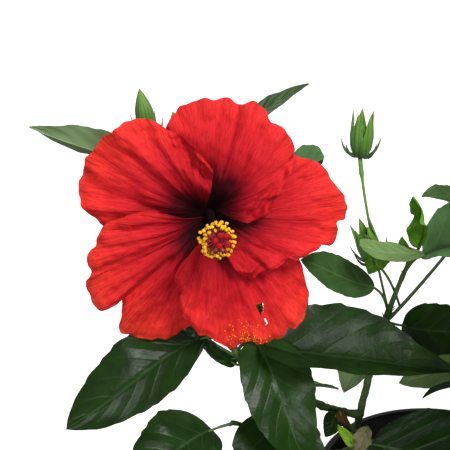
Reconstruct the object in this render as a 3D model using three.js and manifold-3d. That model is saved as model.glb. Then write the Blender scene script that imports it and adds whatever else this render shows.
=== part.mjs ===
// A red hibiscus shrub in its round black nursery pot, in millimetres.
// +Z is up, the pot's axis is Z and its flat underside lies at z = 0. The large bloom looks
// towards -Y and leans out over the pot's left side, which is -X.
//
// Four stems rise from one root and carry boughs. Each mass of foliage is one twig that grows
// on from its stem or bough, with side twigs, leaves and buds fused to it. The leaves that
// make the plant's own shape have a place each. The others follow a seeded rule: they climb
// the twig by the golden angle, and one that has no room there tries again further round.

import * as THREE from 'three'
import { mergeVertices } from 'three/addons/utils/BufferGeometryUtils.js'
import Module from 'manifold-3d'

const wasm = await Module()
wasm.setup()

const JOINT_GAP = 0.3
const GOLDEN_ANGLE = 137.5

const POT = {
  rimRadius: 70,
  height: 115,
  footRadius: 50,
  wall: 1.8,
  lipDepth: 9,
  lipOut: 3,
  lipRound: 1.2,
  drainHoles: 6,
  drainRadius: 4.5,
  drainRing: 38,
  drainSides: 8,
  sides: 32,
}
const SOIL = { top: 103, fit: 0.4, rounding: 1.5, shoulder: 3, sides: 24 }

const STEM = { sides: 6, steps: 5, flare: 0.7, flareShare: 1 / 6 }
const TWIG = { sides: 5, steps: 4, onward: 0.45 }
const SIDE_TWIG = { radii: [1.3, 0.8], sides: 4, steps: 3 }
// A leaf's stalk and blade, each with its steps on a ruled leaf and on a placed one. `bunch`
// draws the blade's steps towards its base.
const STALK = { radii: [1.1, 0.6], sides: 3, steps: [2, 3], into: 3, bend: 0.25, early: 0.6 }
const LEAF = {
  thick: 1.7,
  fold: 0.32,
  endWidth: 1.3,
  shape: [0.55, 0.85],
  steps: [3, 5],
  bunch: 1.25,
}
// A bud's outline as shares of its radius and length: its cup, then the top of an open one,
// whose lobes are parted by notches, or of a closed one.
const BUD = {
  cup: [[0, -0.06], [0.35, -0.04], [0.85, 0.14], [1, 0.4]],
  openTop: [[0.85, 1], [0, 0.45]],
  notch: [0.9, 0.5],
  closedTop: [[0.6, 0.75], [0, 1]],
  lobes: 5,
  sides: 6,
  bractInner: 0.4,
  bractReach: 1.6,
  bractRise: 0.36,
  bractThick: 0.9,
  stalk: [1.1, 1.0],
  stalkSides: 4,
  stalkSteps: 4,
}

// How the rule gives a leaf its stalk, climb, droop and width, each as a share of its length.
const RULE = {
  tries: 9,
  tryTurn: 31,
  stalk: [0.34, 0.22],
  climb: [0.75, 0.5, 0.5],
  droop: [-0.45, 0.75, 0.35],
  twist: 0.7,
  wide: [0.5, 0.08],
  arch: 0.09,
}
const SPRIG = { from: 0.18, to: 0.78, out: 0.72, up: 0.69, bendOut: 0.5, bendUp: 0.12, offset: 70 }
// What a leaf keeps clear of, and by how much.
const ROOM = { blade: 10, twig: 6, petal: 13, pot: 7, ground: 12, stalkShare: 0.5 }
// The left of the plant stays open: the ruled leaves of the right keep beyond this plane,
// x = side + back * y + rise * z.
const OPENING = { side: 17.5, back: 0.166, rise: -0.074 }
// The twigs behind the bloom keep to its lee, within this distance of a line that runs back
// and down from the bloom's middle.
const LEE = { from: [-131, -5, 276], along: [-0.01, 0.914, -0.405], within: 54 }

// The bloom: its throat, the way it looks, and its petals by angle, reach and breadth.
const BLOOM = {
  throat: [-131.5, -5, 281],
  looks: [0.08, -0.975, 0.208],
  petals: [
    { angle: 152, reach: 71, broad: 72, round: 0.15 },
    { angle: 75, reach: 60, broad: 72, round: 0.1 },
    { angle: 7, reach: 70, broad: 64, round: 0.28 },
    { angle: -63, reach: 75, broad: 74, round: 0.2 },
    { angle: 226, reach: 79, broad: 78, round: 0.15 },
  ],
  claw: 4.5,
  clawReach: 2,
  broadest: 0.75,
  swell: 1.25,
  taper: 0.2,
  rise: [26, 31, 17],
  spread: [0.12, 0.56],
  lean: 6,
  thick: 1.1,
  steps: [5, 5],
  tube: { behind: 4, before: 7, radii: [4, 6.5], sides: 8 },
}
const COLUMN = {
  length: 60,
  droop: 4,
  radii: [2.4, 1.7],
  sides: 6,
  brushFrom: 0.66,
  threads: 10,
  brush: 8.4,
  forward: 3,
  threadRadii: [0.5, 0.4],
  sac: 1.6,
  ease: 2,
}
const CALYX = {
  length: 17,
  radii: [2.6, 5.6],
  sides: 8,
  bracts: 6,
  bractOut: 9,
  bractLength: 9,
  stalk: [1.3, 1.5],
  stalkRise: 30,
  root: 0.3,
}

// Stems stand on the soil by their foot, and boughs leave a stem or another bough at a share
// of its length. Both run by way of `via` to their tip.
const FOOT = SOIL.top + JOINT_GAP
const LIMBS = {
  stem_left: { foot: [-50, 22, FOOT], via: [-44, 18, 160], to: [-35, 14, 204], radii: [3.4, 2.4] },
  stem_centre: { foot: [31, -12, FOOT], via: [24, -18, 156], to: [30, -30, 194], radii: [3.6, 2.4] },
  stem_right: { foot: [46, 12, FOOT], via: [54, 14, 158], to: [80, 24, 192], radii: [3.6, 2.4] },
  stem_back: { foot: [26, 44, FOOT], via: [25, 54, 156], to: [34, 74, 198], radii: [3.5, 2.4] },
  bough_bloom: { on: 'stem_left', at: 0.36, via: [-72, 8, 152], to: [-112, -24, 201], radii: [2.3, 1.9] },
  bough_low_left: { on: 'stem_left', at: 0.12, via: [-70, 2, 122], to: [-94, -20, 152], radii: [2.0, 1.7] },
  bough_behind: { on: 'stem_left', at: 0.8, via: [-60, 46, 182], to: [-98, 60, 208], radii: [2.0, 1.8] },
  bough_front: { on: 'stem_centre', at: 0.35, via: [42, -36, 140], to: [54, -60, 164], radii: [2.2, 1.8] },
  bough_right_low: { on: 'stem_right', at: 0.28, via: [76, 2, 136], to: [100, -16, 164], radii: [2.2, 1.8] },
  bough_back_low: { on: 'stem_back', at: 0.28, via: [50, 66, 138], to: [78, 86, 166], radii: [2.2, 1.8] },
}

// The masses of foliage. Each one's main twig grows on from its limb's tip, or leaves the limb
// at a share of it. Placed side twigs, `twigs`, are numbered from 1 after the main twig, 0.
// The rule gives a mass its side twigs and leaves: `long` is a leaf's length at the foot and
// at the tip of the twig.
const MASSES = {
  foliage_bloom: {
    on: 'bough_bloom', to: [-112, 14, 258], radii: [1.9, 1.2],
    leaves: [
      {
        at: 0.04, base: [-133, -22, 215], tip: [-204, -60, 184],
        face: [-0.25, -0.6, 0.75], wide: 47, arch: 5,
      },
      { at: 0.1, base: [-107, -29, 214], tip: [-80, -62, 161], face: [0.15, -0.85, 0.5], wide: 37, arch: 7 },
      {
        at: 0.16, base: [-103, -31, 214], tip: [-3, -52, 211],
        face: [0.05, -0.45, 0.9], wide: 58, arch: -8, fold: 0.72,
      },
      { at: 0.6, base: [-128, 24, 240], tip: [-172, 48, 244], face: [-0.1, 0.2, 1], wide: 36, arch: 5 },
      { at: 0.9, base: [-103, 26, 262], tip: [-78, 36, 292], face: [0.6, 0.5, 0.6], wide: 32, arch: 4 },
    ],
  },
  foliage_low_left: {
    on: 'bough_low_left', to: [-120, -38, 174], radii: [1.6, 1.1],
    leaves: [
      {
        at: 0.95, base: [-130, -41, 171], tip: [-174, -78, 161],
        face: [-0.2, -0.55, 0.8], wide: 42, arch: 6,
      },
      { at: 0.35, base: [-98, -34, 166], tip: [-92, -74, 128], face: [0.1, -0.8, 0.6], wide: 46, arch: 6 },
    ],
  },
  foliage_low_front: {
    on: 'stem_left', at: 0.24, via: [-49, 4, 136], to: [-52, -6, 146], radii: [1.5, 1.0],
    leaves: [
      { at: 0.6, base: [-44, -14, 144], tip: [18, -76, 142], face: [0.05, -0.55, 0.85], wide: 60, arch: 8 },
      { at: 0.7, base: [-60, 3, 154], tip: [-67, -4, 142], face: [-0.2, -0.9, 0.3], wide: 10, arch: 1 },
      {
        at: 0.9, base: [-52, -11, 141], tip: [-61, -10, 154],
        face: [-0.4, -0.8, 0.3], wide: 5.5, arch: -1.5,
      },
      { at: 1, base: [-43, -15, 158], tip: [-53, -17, 138], face: [-0.5, -0.8, 0.3], wide: 12, arch: 2 },
      { at: 0.8, base: [-59, 0, 157], tip: [-53, -3, 144], face: [-0.4, -0.9, 0], wide: 5, arch: 1 },
    ],
  },
  foliage_left_top: {
    on: 'stem_left', to: [-23, 9, 249], radii: [2.3, 1.2],
    twigs: [{ at: 0.03, via: [-18, 20, 220], to: [20, 42, 262], radii: [1.2, 0.9] }],
    leaves: [
      { at: 0.2, base: [-43, 5, 230], tip: [-84, -9, 254], face: [0.3, -0.7, 0.65], wide: 24, arch: -3 },
      {
        at: 0.72, base: [-18, 5, 251], tip: [28, -10, 268],
        face: [-0.3, -0.4, 0.86], wide: 44, arch: 2, fold: 0.72,
      },
      { at: 0.95, base: [-18, 0, 251], tip: [-53, -12, 262], face: [-0.1, 0.3, 0.95], wide: 24, arch: -3 },
      { at: 0.05, base: [-27, 2, 210], tip: [18, -20, 214], face: [0.2, -0.8, 0.55], wide: 29, arch: 4 },
      { at: 0.97, base: [-20, 8, 254], tip: [-26, 2, 285], face: [-0.8, -0.5, 0.2], wide: 14, arch: -3 },
      { at: 0.93, base: [-25, 6, 251], tip: [-30, 3, 263], face: [-0.6, -0.7, 0.2], wide: 8, arch: 1 },
      { at: 0.16, base: [-38, 36, 178], tip: [-51, 48, 139], face: [0.55, 0.75, 0.3], wide: 26, arch: 3 },
      {
        twig: 1, at: 0.94, base: [17, 30, 266], tip: [-19, 15, 281],
        face: [0.1, -0.15, 0.98], wide: 24, arch: 2,
      },
      {
        twig: 1, at: 0.75, base: [24, 18, 246], tip: [62, -8, 262],
        face: [0.2, -0.4, 0.9], wide: 38, arch: 5,
      },
      {
        twig: 1, at: 0.98, base: [32, 54, 276], tip: [52, 86, 290],
        face: [-0.1, -0.3, 1], wide: 30, arch: 4,
      },
    ],
    buds: [
      { at: 0.2, via: [-48, 26, 268], base: [-51, 30, 298], tip: [-50, 30, 322], radius: 5.8, open: true },
      { twig: 1, at: 0.22, via: [-32, 18, 232], base: [-43, 10, 245], tip: [-52, 6, 269], radius: 5.4,
        open: true },
    ],
  },
  foliage_behind: {
    on: 'bough_behind', to: [-128, 50, 298], radii: [1.7, 1.1],
    leaves: [
      { at: 0.85, base: [-160, 52, 288], tip: [-230, 46, 309], face: [0.15, 0.75, 0.65], wide: 34, arch: -5 },
      { at: 0.97, base: [-112, 49, 306], tip: [-78, 54, 331], face: [-0.5, -0.3, 0.8], wide: 17, arch: 2 },
      { at: 0.6, base: [-99, 60, 275], tip: [-66, 66, 289], face: [0.2, 0.8, 0.55], wide: 30, arch: -3 },
    ],
    buds: [
      { at: 0.8, via: [-158, 56, 292], base: [-165, 53, 307], tip: [-170, 54, 328], radius: 4.6 },
      { at: 0.95, via: [-140, 52, 300], base: [-148, 50, 301], tip: [-152, 51, 316], radius: 3.4 },
    ],
    rule: {
      seed: 5, phase: 40, leaves: 7, long: [70, 46],
      sprigs: 2, sprigLong: 40, sprigLeaves: 3, keep: 'lee',
    },
  },
  foliage_low_centre: {
    on: 'stem_centre', at: 0.5, via: [28, 0, 152], to: [24, 14, 172], radii: [1.5, 1.0],
    leaves: [
      { at: 0.7, base: [17, 20, 171], tip: [-25, 13, 167], face: [0.1, -0.5, 0.87], wide: 24, arch: 3 },
      { at: 0.5, base: [20, -4, 172], tip: [-17, -20, 178], face: [0.1, 0.4, 0.92], wide: 12, arch: 5 },
    ],
    rule: {
      seed: 83, phase: 250, leaves: 5, long: [62, 50],
      sprigs: 0, sprigLong: 0, sprigLeaves: 0, keep: 'right',
    },
  },
  foliage_centre: {
    on: 'stem_centre', to: [38, -46, 306], radii: [2.2, 1.2],
    buds: [
      { at: 0.75, via: [48, -66, 300], base: [48, -70, 316], tip: [50, -76, 336], radius: 5, open: true },
    ],
    rule: {
      seed: 11, phase: 20, leaves: 12, long: [86, 44],
      sprigs: 4, sprigLong: 62, sprigLeaves: 4, keep: 'right',
    },
  },
  foliage_right: {
    on: 'stem_right', to: [110, 34, 300], radii: [2.2, 1.2],
    buds: [{ at: 0.7, via: [132, 16, 296], base: [136, 10, 312], tip: [142, 6, 330], radius: 4.8 }],
    rule: {
      seed: 23, phase: 75, leaves: 12, long: [86, 44],
      sprigs: 4, sprigLong: 62, sprigLeaves: 4, keep: 'right',
    },
  },
  foliage_back: {
    on: 'stem_back', to: [48, 106, 316], radii: [2.2, 1.2],
    buds: [{ at: 0.75, via: [36, 126, 306], base: [33, 130, 320], tip: [30, 136, 338], radius: 4.8 }],
    rule: {
      seed: 31, phase: 130, leaves: 12, long: [86, 44],
      sprigs: 4, sprigLong: 62, sprigLeaves: 4, keep: 'right',
    },
  },
  foliage_front: {
    on: 'bough_front', to: [76, -98, 216], radii: [1.7, 1.1],
    rule: {
      seed: 47, phase: 200, leaves: 9, long: [78, 46],
      sprigs: 3, sprigLong: 46, sprigLeaves: 3, keep: 'right',
    },
  },
  foliage_right_low: {
    on: 'bough_right_low', to: [148, -40, 216], radii: [1.7, 1.1],
    rule: {
      seed: 59, phase: 10, leaves: 9, long: [78, 46],
      sprigs: 3, sprigLong: 46, sprigLeaves: 3, keep: 'right',
    },
  },
  foliage_back_low: {
    on: 'bough_back_low', to: [122, 120, 216], radii: [1.7, 1.1],
    rule: {
      seed: 71, phase: 300, leaves: 9, long: [78, 46],
      sprigs: 3, sprigLong: 46, sprigLeaves: 3, keep: 'right',
    },
  },
}

const SHADES = {
  pot: { color: '#17181a', roughness: 0.35 },
  soil: { color: '#3a281c', roughness: 0.95 },
  stem: { color: '#3d5526', roughness: 0.65 },
  leaf: { color: '#24491f', roughness: 0.35 },
  petal: { color: '#d81f26', roughness: 0.5 },
  stamen: { color: '#e9b51d', roughness: 0.7 },
}

const UP = new THREE.Vector3(0, 0, 1)
const vec = (list) => new THREE.Vector3(...list)
const mix = (pair, share) => pair[0] + (pair[1] - pair[0]) * share
const radians = THREE.MathUtils.degToRad

// A seeded row of even numbers from 0 to 1.
function seededRow(seed) {
  let state = (seed * 7919 + 12345) >>> 0
  return () => {
    state = (Math.imul(state, 1664525) + 1013904223) >>> 0
    return state / 4294967296
  }
}

// A closed solid from a three.js geometry.
function solid(geometry) {
  const bare = geometry.clone()
  bare.deleteAttribute('normal')
  bare.deleteAttribute('uv')
  const merged = mergeVertices(bare, 1e-4)
  return new wasm.Manifold(
    new wasm.Mesh({
      numProp: 3,
      vertProperties: new Float32Array(merged.getAttribute('position').array),
      triVerts: new Uint32Array(merged.index.array),
    }),
  )
}

// One solid from several that run into each other.
function fuse(solids) {
  return solids.reduce((whole, piece) => whole.add(piece))
}

// Moves every vertex of a geometry to where `place` says.
function reshape(geometry, place) {
  const position = geometry.getAttribute('position')
  for (let i = 0; i < position.count; i++) {
    const p = place(position.getX(i), position.getY(i), position.getZ(i))
    position.setXYZ(i, p.x, p.y, p.z)
  }
  return geometry
}

const curve = (start, via, end) => new THREE.QuadraticBezierCurve3(start, via, end)

// A round limb along a path, with its radius at each share of the path.
function limb(path, radiusAt, { sides, steps, level = false }) {
  const frames = path.computeFrenetFrames(steps, false)
  return reshape(new THREE.CylinderGeometry(1, 1, 1, sides, steps), (x, y, z) => {
    const share = y + 0.5
    const i = Math.round(share * steps)
    const r = radiusAt(share)
    if (level && i === 0) return path.getPoint(0).add(new THREE.Vector3(x * r, -z * r, 0))
    return path
      .getPoint(share)
      .addScaledVector(frames.normals[i], x * r)
      .addScaledVector(frames.binormals[i], -z * r)
  })
}

const rod = (path, radii, sides, steps) => solid(limb(path, (share) => mix(radii, share), { sides, steps }))

// The radius of a limb at a share of its length. A stem flares where it meets the soil.
function limbRadius(piece, share) {
  const flare = piece.foot ? 1 + STEM.flare * Math.max(0, 1 - share / STEM.flareShare) : 1
  return mix(piece.radii, share) * flare
}

// Where a shoot starts on the skin of its carrier: its flat end stands clear by the joint gap.
function sideStart(path, at, via, carrierRadius, radius, gap) {
  const root = path.getPoint(at)
  const out = via.clone().sub(root).normalize()
  const along = Math.abs(out.dot(path.getTangent(at)))
  const across = Math.sqrt(1 - along * along)
  return root.addScaledVector(out, (carrierRadius + gap + radius * along) / across)
}

// The paths of all limbs, and then of the masses' main twigs.
const limbPaths = {}
function growPath(piece) {
  if (piece.foot) return curve(vec(piece.foot), vec(piece.via), vec(piece.to))
  const carrier = limbPaths[piece.on]
  const end = vec(piece.to)
  if (piece.at === undefined) {
    const onward = carrier.getTangent(1)
    const start = carrier.getPoint(1).addScaledVector(onward, JOINT_GAP)
    return curve(start, start.clone().addScaledVector(onward, TWIG.onward * start.distanceTo(end)), end)
  }
  const via = vec(piece.via)
  const carrierRadius = limbRadius(LIMBS[piece.on], piece.at)
  return curve(sideStart(carrier, piece.at, via, carrierRadius, piece.radii[0], JOINT_GAP), via, end)
}
for (const [name, piece] of Object.entries(LIMBS)) limbPaths[name] = growPath(piece)

// The blade's own directions: along it, to its left side and out of its upper face.
function bladeFrame(leaf) {
  const along = vec(leaf.tip).sub(vec(leaf.base))
  const length = along.length()
  along.normalize()
  const left = new THREE.Vector3().crossVectors(vec(leaf.face), along).normalize()
  return { along, left, up: new THREE.Vector3().crossVectors(along, left), length }
}

// The half width of a blade at u, from its base 0 to its tip 1: ovate with a drawn-out tip.
function halfWidth(leaf, u) {
  const [a, b] = LEAF.shape
  const peak = a / (a + b)
  const share = Math.min(Math.max(u, 1e-6), 1 - 1e-6)
  const swell = (share / peak) ** a * ((1 - share) / (1 - peak)) ** b
  return (leaf.wide / 2) * swell + LEAF.endWidth * (1 - share)
}

// A point of the blade: it arches along its length, and its halves fold up from the midrib.
function bladePoint(leaf, frame, u, v) {
  const half = halfWidth(leaf, u) * v
  const fold = leaf.fold ?? LEAF.fold
  return vec(leaf.base)
    .addScaledVector(frame.along, frame.length * u)
    .addScaledVector(frame.left, half * Math.cos(fold))
    .addScaledVector(frame.up, leaf.arch * 4 * u * (1 - u) + Math.abs(half) * Math.sin(fold))
}

// A leaf: a thin folded blade that ends in a point, and a stalk that runs from the twig into
// the blade's base. A placed leaf has finer steps than a ruled one.
function leafSolid(leaf, root) {
  const frame = bladeFrame(leaf)
  const fineness = leaf.ruled ? 0 : 1
  const blade = reshape(new THREE.CylinderGeometry(0, 1, 1, 4, LEAF.steps[fineness]), (x, y, z) => {
    const share = y + 0.5
    const ring = Math.max(1 - share, 1e-6)
    const point = bladePoint(leaf, frame, share ** LEAF.bunch, x / ring)
    return point.addScaledVector(frame.up, (-z / ring) * LEAF.thick * 0.5)
  })
  const base = vec(leaf.base)
  const end = bladePoint(leaf, frame, Math.min(STALK.into / frame.length, 0.2), 0)
  const bend = base.clone().addScaledVector(frame.along, -STALK.bend * root.distanceTo(base))
  const stalk = new THREE.CubicBezierCurve3(root, root.clone().lerp(bend, STALK.early), bend, end)
  return fuse([solid(blade), rod(stalk, STALK.radii, STALK.sides, STALK.steps[fineness])])
}

// A lathed form round +Y whose one ring of points is drawn out into teeth: between the teeth
// that ring falls back to the notch, a radius and a height.
function toothedLathe(profile, teeth, ring, notch) {
  const points = profile.map(([x, y]) => new THREE.Vector2(x, y))
  const geometry = new THREE.LatheGeometry(points, 2 * teeth)
  const position = geometry.getAttribute('position')
  for (let i = 1; i < 2 * teeth; i += 2) {
    const k = i * points.length + ring
    const a = (i / teeth) * Math.PI
    position.setXYZ(k, notch[0] * Math.sin(a), notch[1], notch[0] * Math.cos(a))
  }
  return geometry
}

// A star of thin bracts that rise from a shoot's end to the reach and height given.
function bractStar(teeth, inner, reach, rise, thick) {
  const profile = [[0, -thick], [reach, rise - thick * 0.3], [0, thick]]
  return toothedLathe(profile, teeth, 1, [inner, 0])
}

// A bud on its long stalk: a cup over a star of bracts. A closed one narrows to a point, and
// an open one ends in pointed lobes.
function budSolid(bud, root) {
  const foot = vec(bud.base)
  const axis = vec(bud.tip).sub(foot)
  const length = axis.length()
  axis.normalize()
  const across = new THREE.Vector3().crossVectors(axis, new THREE.Vector3(0.3, 1, 0.2)).normalize()
  const turn = new THREE.Matrix4().makeBasis(across, axis, new THREE.Vector3().crossVectors(across, axis))
  turn.setPosition(foot)
  const r = bud.radius
  const shares = [...BUD.cup, ...(bud.open ? BUD.openTop : BUD.closedTop)]
  const outline = shares.map(([x, y]) => [x * r, y * length])
  const notch = [BUD.notch[0] * r, BUD.notch[1] * length]
  const body = bud.open
    ? toothedLathe(outline, BUD.lobes, BUD.cup.length, notch)
    : new THREE.LatheGeometry(outline.map(([x, y]) => new THREE.Vector2(x, y)), BUD.sides)
  const reach = r * BUD.bractReach
  const star = bractStar(BUD.lobes, r * BUD.bractInner, reach, length * BUD.bractRise, BUD.bractThick)
  return fuse([
    solid(body.applyMatrix4(turn)),
    solid(star.applyMatrix4(turn)),
    rod(curve(root, vec(bud.via), foot), BUD.stalk, BUD.stalkSides, BUD.stalkSteps),
  ])
}

// The directions of the bloom: to its right, to its top and out of its throat.
function bloomFrame() {
  const out = vec(BLOOM.looks).normalize()
  const right = new THREE.Vector3().crossVectors(UP, out).normalize()
  return { out, right, top: new THREE.Vector3().crossVectors(out, right) }
}
const bloomAxes = bloomFrame()
const throat = vec(BLOOM.throat)
const bloomRay = (angle) =>
  bloomAxes.right.clone().multiplyScalar(Math.cos(angle)).addScaledVector(bloomAxes.top, Math.sin(angle))
const alongBloom = (distance) => throat.clone().addScaledVector(bloomAxes.out, distance)

// A point of a petal, s from its claw 0 to its margin 1 and t across it from -1 to 1. The petal
// rises as a funnel and spreads, and its clockwise side, t = -1, lies before its neighbour.
function petalPoint(petal, s, t) {
  const angle = radians(petal.angle)
  const far = s * (1 - petal.round * t * t * s)
  const near = 1 - far
  const [h1, h2, h3] = BLOOM.rise
  const [r1, r2] = BLOOM.spread
  const bend = [3 * near * near * far, 3 * near * far * far, far ** 3]
  const height = bend[0] * h1 + bend[1] * h2 + bend[2] * h3
  const reach = near ** 3 * BLOOM.clawReach + petal.reach * (bend[0] * r1 + bend[1] * r2 + bend[2])
  const opened = Math.sin((Math.min(1, s / BLOOM.broadest) * Math.PI) / 2) ** BLOOM.swell
  const narrowed = 1 - BLOOM.taper * Math.max(0, (s - BLOOM.broadest) / (1 - BLOOM.broadest)) ** 2
  const half = (BLOOM.claw + (petal.broad / 2 - BLOOM.claw) * opened) * narrowed
  return alongBloom(height - BLOOM.lean * t * Math.sin((Math.min(1, s * 1.2) * Math.PI) / 2))
    .addScaledVector(bloomRay(angle), reach)
    .addScaledVector(bloomRay(angle + Math.PI / 2), half * t)
}

// The five petals and the short tube that joins them.
function petals() {
  const [along, across] = BLOOM.steps
  const { behind, before, radii, sides } = BLOOM.tube
  const blades = BLOOM.petals.map((petal) =>
    solid(
      reshape(new THREE.BoxGeometry(1, 1, 1, along, across, 1), (x, y, z) =>
        petalPoint(petal, x + 0.5, 2 * y).addScaledVector(bloomAxes.out, z * BLOOM.thick),
      ),
    ),
  )
  const tube = rod(new THREE.LineCurve3(alongBloom(-behind), alongBloom(before)), radii, sides, 1)
  const bore = COLUMN.radii[0] + JOINT_GAP
  const bored = new THREE.LineCurve3(alongBloom(0), alongBloom(COLUMN.length / 2))
  const hole = rod(bored, [bore, bore + COLUMN.ease], sides, 1)
  return fuse([tube, ...blades]).subtract(hole)
}

// The staminal column: a tapered rod with threads that end in pollen sacs round its tip.
function column() {
  const tip = alongBloom(COLUMN.length).addScaledVector(bloomAxes.top, -COLUMN.droop)
  const path = curve(alongBloom(JOINT_GAP), alongBloom(COLUMN.length / 2), tip)
  const pieces = [rod(path, COLUMN.radii, COLUMN.sides, 4)]
  for (let i = 0; i < COLUMN.threads; i++) {
    const share = mix([COLUMN.brushFrom, 1], (i + 0.5) / COLUMN.threads)
    const foot = path.getPoint(share - 0.02)
    const end = foot.clone().addScaledVector(bloomRay(radians(i * GOLDEN_ANGLE)), COLUMN.brush)
    end.addScaledVector(bloomAxes.out, COLUMN.forward)
    pieces.push(rod(new THREE.LineCurve3(foot, end), COLUMN.threadRadii, 3, 1))
    pieces.push(solid(new THREE.OctahedronGeometry(COLUMN.sac).translate(end.x, end.y, end.z)))
  }
  return fuse(pieces)
}

// The bloom's calyx, with its bracts and the stalk that lifts it off its twig.
function calyx(root) {
  const top = -BLOOM.tube.behind - JOINT_GAP
  const low = top - CALYX.length
  const cup = new THREE.LineCurve3(alongBloom(low), alongBloom(top))
  const stalk = new THREE.CubicBezierCurve3(
    root,
    root.clone().addScaledVector(UP, CALYX.stalkRise),
    alongBloom(low - CALYX.stalkRise),
    alongBloom(low + 2),
  )
  const star = bractStar(CALYX.bracts, CALYX.radii[0], CALYX.bractOut, CALYX.bractLength, BUD.bractThick)
  const turn = new THREE.Matrix4().makeBasis(bloomAxes.top, bloomAxes.out, bloomAxes.right)
  star.applyMatrix4(turn.setPosition(alongBloom(low + 1)))
  return fuse([rod(cup, CALYX.radii, CALYX.sides, 1), rod(stalk, CALYX.stalk, 5, 6), solid(star)])
}

// The pot: a thin tapered wall with a turned-over lip, and drain holes round its flat foot.
function pot() {
  const { rimRadius: rim, height, footRadius: foot, wall, lipDepth, lipOut, lipRound, sides } = POT
  const neck = rim - lipOut
  const profile = [
    [0, 0],
    [foot, 0],
    [neck, height - lipDepth],
    [rim - lipRound / 2, height - lipDepth],
    [rim, height - lipRound],
    [rim - lipRound, height],
    [neck - wall, height],
    [foot - wall, wall],
    [0, wall],
  ]
  const points = profile.map(([x, y]) => new THREE.Vector2(x, y))
  const body = solid(new THREE.LatheGeometry(points, sides).rotateX(Math.PI / 2))
  const holes = []
  for (let i = 0; i < POT.drainHoles; i++) {
    const a = ((i + 0.5) / POT.drainHoles) * Math.PI * 2
    const hole = new THREE.CylinderGeometry(POT.drainRadius, POT.drainRadius, 4 * wall, POT.drainSides)
    hole.rotateX(Math.PI / 2).translate(Math.cos(a) * POT.drainRing, Math.sin(a) * POT.drainRing, 0)
    holes.push(solid(hole))
  }
  return holes.reduce((left, hole) => left.subtract(hole), body)
}

// The soil: a plug that fills the pot to just below its rim.
function soil() {
  const low = POT.wall + SOIL.fit
  const inside = [POT.footRadius - POT.wall, POT.rimRadius - POT.lipOut - POT.wall]
  const flat = Math.cos(Math.PI / POT.sides)
  const radiusAt = (z) => mix(inside, (z - POT.wall) / (POT.height - POT.wall)) * flat - SOIL.fit
  const edge = SOIL.top - SOIL.rounding
  const profile = [
    [0, low],
    [radiusAt(low), low],
    [radiusAt(edge), edge],
    [radiusAt(edge) - SOIL.shoulder, SOIL.top],
    [0, SOIL.top],
  ]
  const points = profile.map(([x, y]) => new THREE.Vector2(x, y))
  return solid(new THREE.LatheGeometry(points, SOIL.sides).rotateX(Math.PI / 2))
}

// What stands where, as points with the room that each one wants round it.
const taken = []
const takeLine = (path, room, count) => {
  for (let i = 0; i <= count; i++) taken.push({ point: path.getPoint(i / count), room })
}
const takeBlade = (leaf) => {
  for (const point of bladeSamples(leaf)) taken.push({ point, room: ROOM.blade })
}

// The points that stand for a blade when leaves are kept apart.
function bladeSamples(leaf) {
  const frame = bladeFrame(leaf)
  const points = []
  for (const u of [0.04, 0.2, 0.36, 0.52, 0.68, 0.84, 1])
    for (const v of [-0.9, -0.45, 0, 0.45, 0.9]) points.push(bladePoint(leaf, frame, u, v))
  return points
}

// Whether a point keeps to its mass's own space.
function inSpace(p, keep) {
  if (p.z < ROOM.ground) return false
  if (p.z < POT.height + ROOM.pot && Math.hypot(p.x, p.y) < POT.rimRadius + ROOM.pot) return false
  if (keep === 'right') return p.x > OPENING.side + OPENING.back * p.y + OPENING.rise * p.z
  const along = vec(LEE.along).normalize()
  const away = p.clone().sub(vec(LEE.from))
  return away.addScaledVector(along, -away.dot(along)).length() < LEE.within
}

const isFree = (p, share) => taken.every(({ point, room }) => p.distanceTo(point) > room * share)

// The ways round a shoot in which a leaf or side twig is tried, nearest first.
function* tryTurns(start) {
  for (let k = 0; k < RULE.tries; k++) {
    const side = k % 2 ? 1 : -1
    yield radians(start + Math.ceil(k / 2) * side * RULE.tryTurn)
  }
}

// A direction square to the path, turned about it by the angle.
function outward(axis, angle) {
  const side = new THREE.Vector3().crossVectors(axis, new THREE.Vector3(0, 1, 0)).normalize()
  const other = new THREE.Vector3().crossVectors(axis, side)
  return side.multiplyScalar(Math.cos(angle)).addScaledVector(other, Math.sin(angle))
}

// The side twigs that the rule gives a mass.
function ruledTwigs(path, rule, random) {
  const paths = []
  for (let i = 0; i < rule.sprigs; i++) {
    const root = path.getPoint(mix([SPRIG.from, SPRIG.to], (i + 0.5) / rule.sprigs))
    const long = rule.sprigLong * (0.85 + 0.3 * random())
    for (const turn of tryTurns(rule.phase + SPRIG.offset + i * GOLDEN_ANGLE)) {
      const out = outward(UP, turn)
      const via = root.clone().addScaledVector(out, long * SPRIG.bendOut)
      via.addScaledVector(UP, long * SPRIG.bendUp)
      const end = root.clone().addScaledVector(out, long * SPRIG.out)
      end.addScaledVector(UP, long * SPRIG.up)
      const twig = curve(root, via, end)
      const points = [0.4, 0.6, 0.8, 1].map((share) => twig.getPoint(share))
      if (!points.every((p) => inSpace(p, rule.keep) && isFree(p, 1))) continue
      paths.push(twig)
      break
    }
  }
  return paths
}

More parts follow.
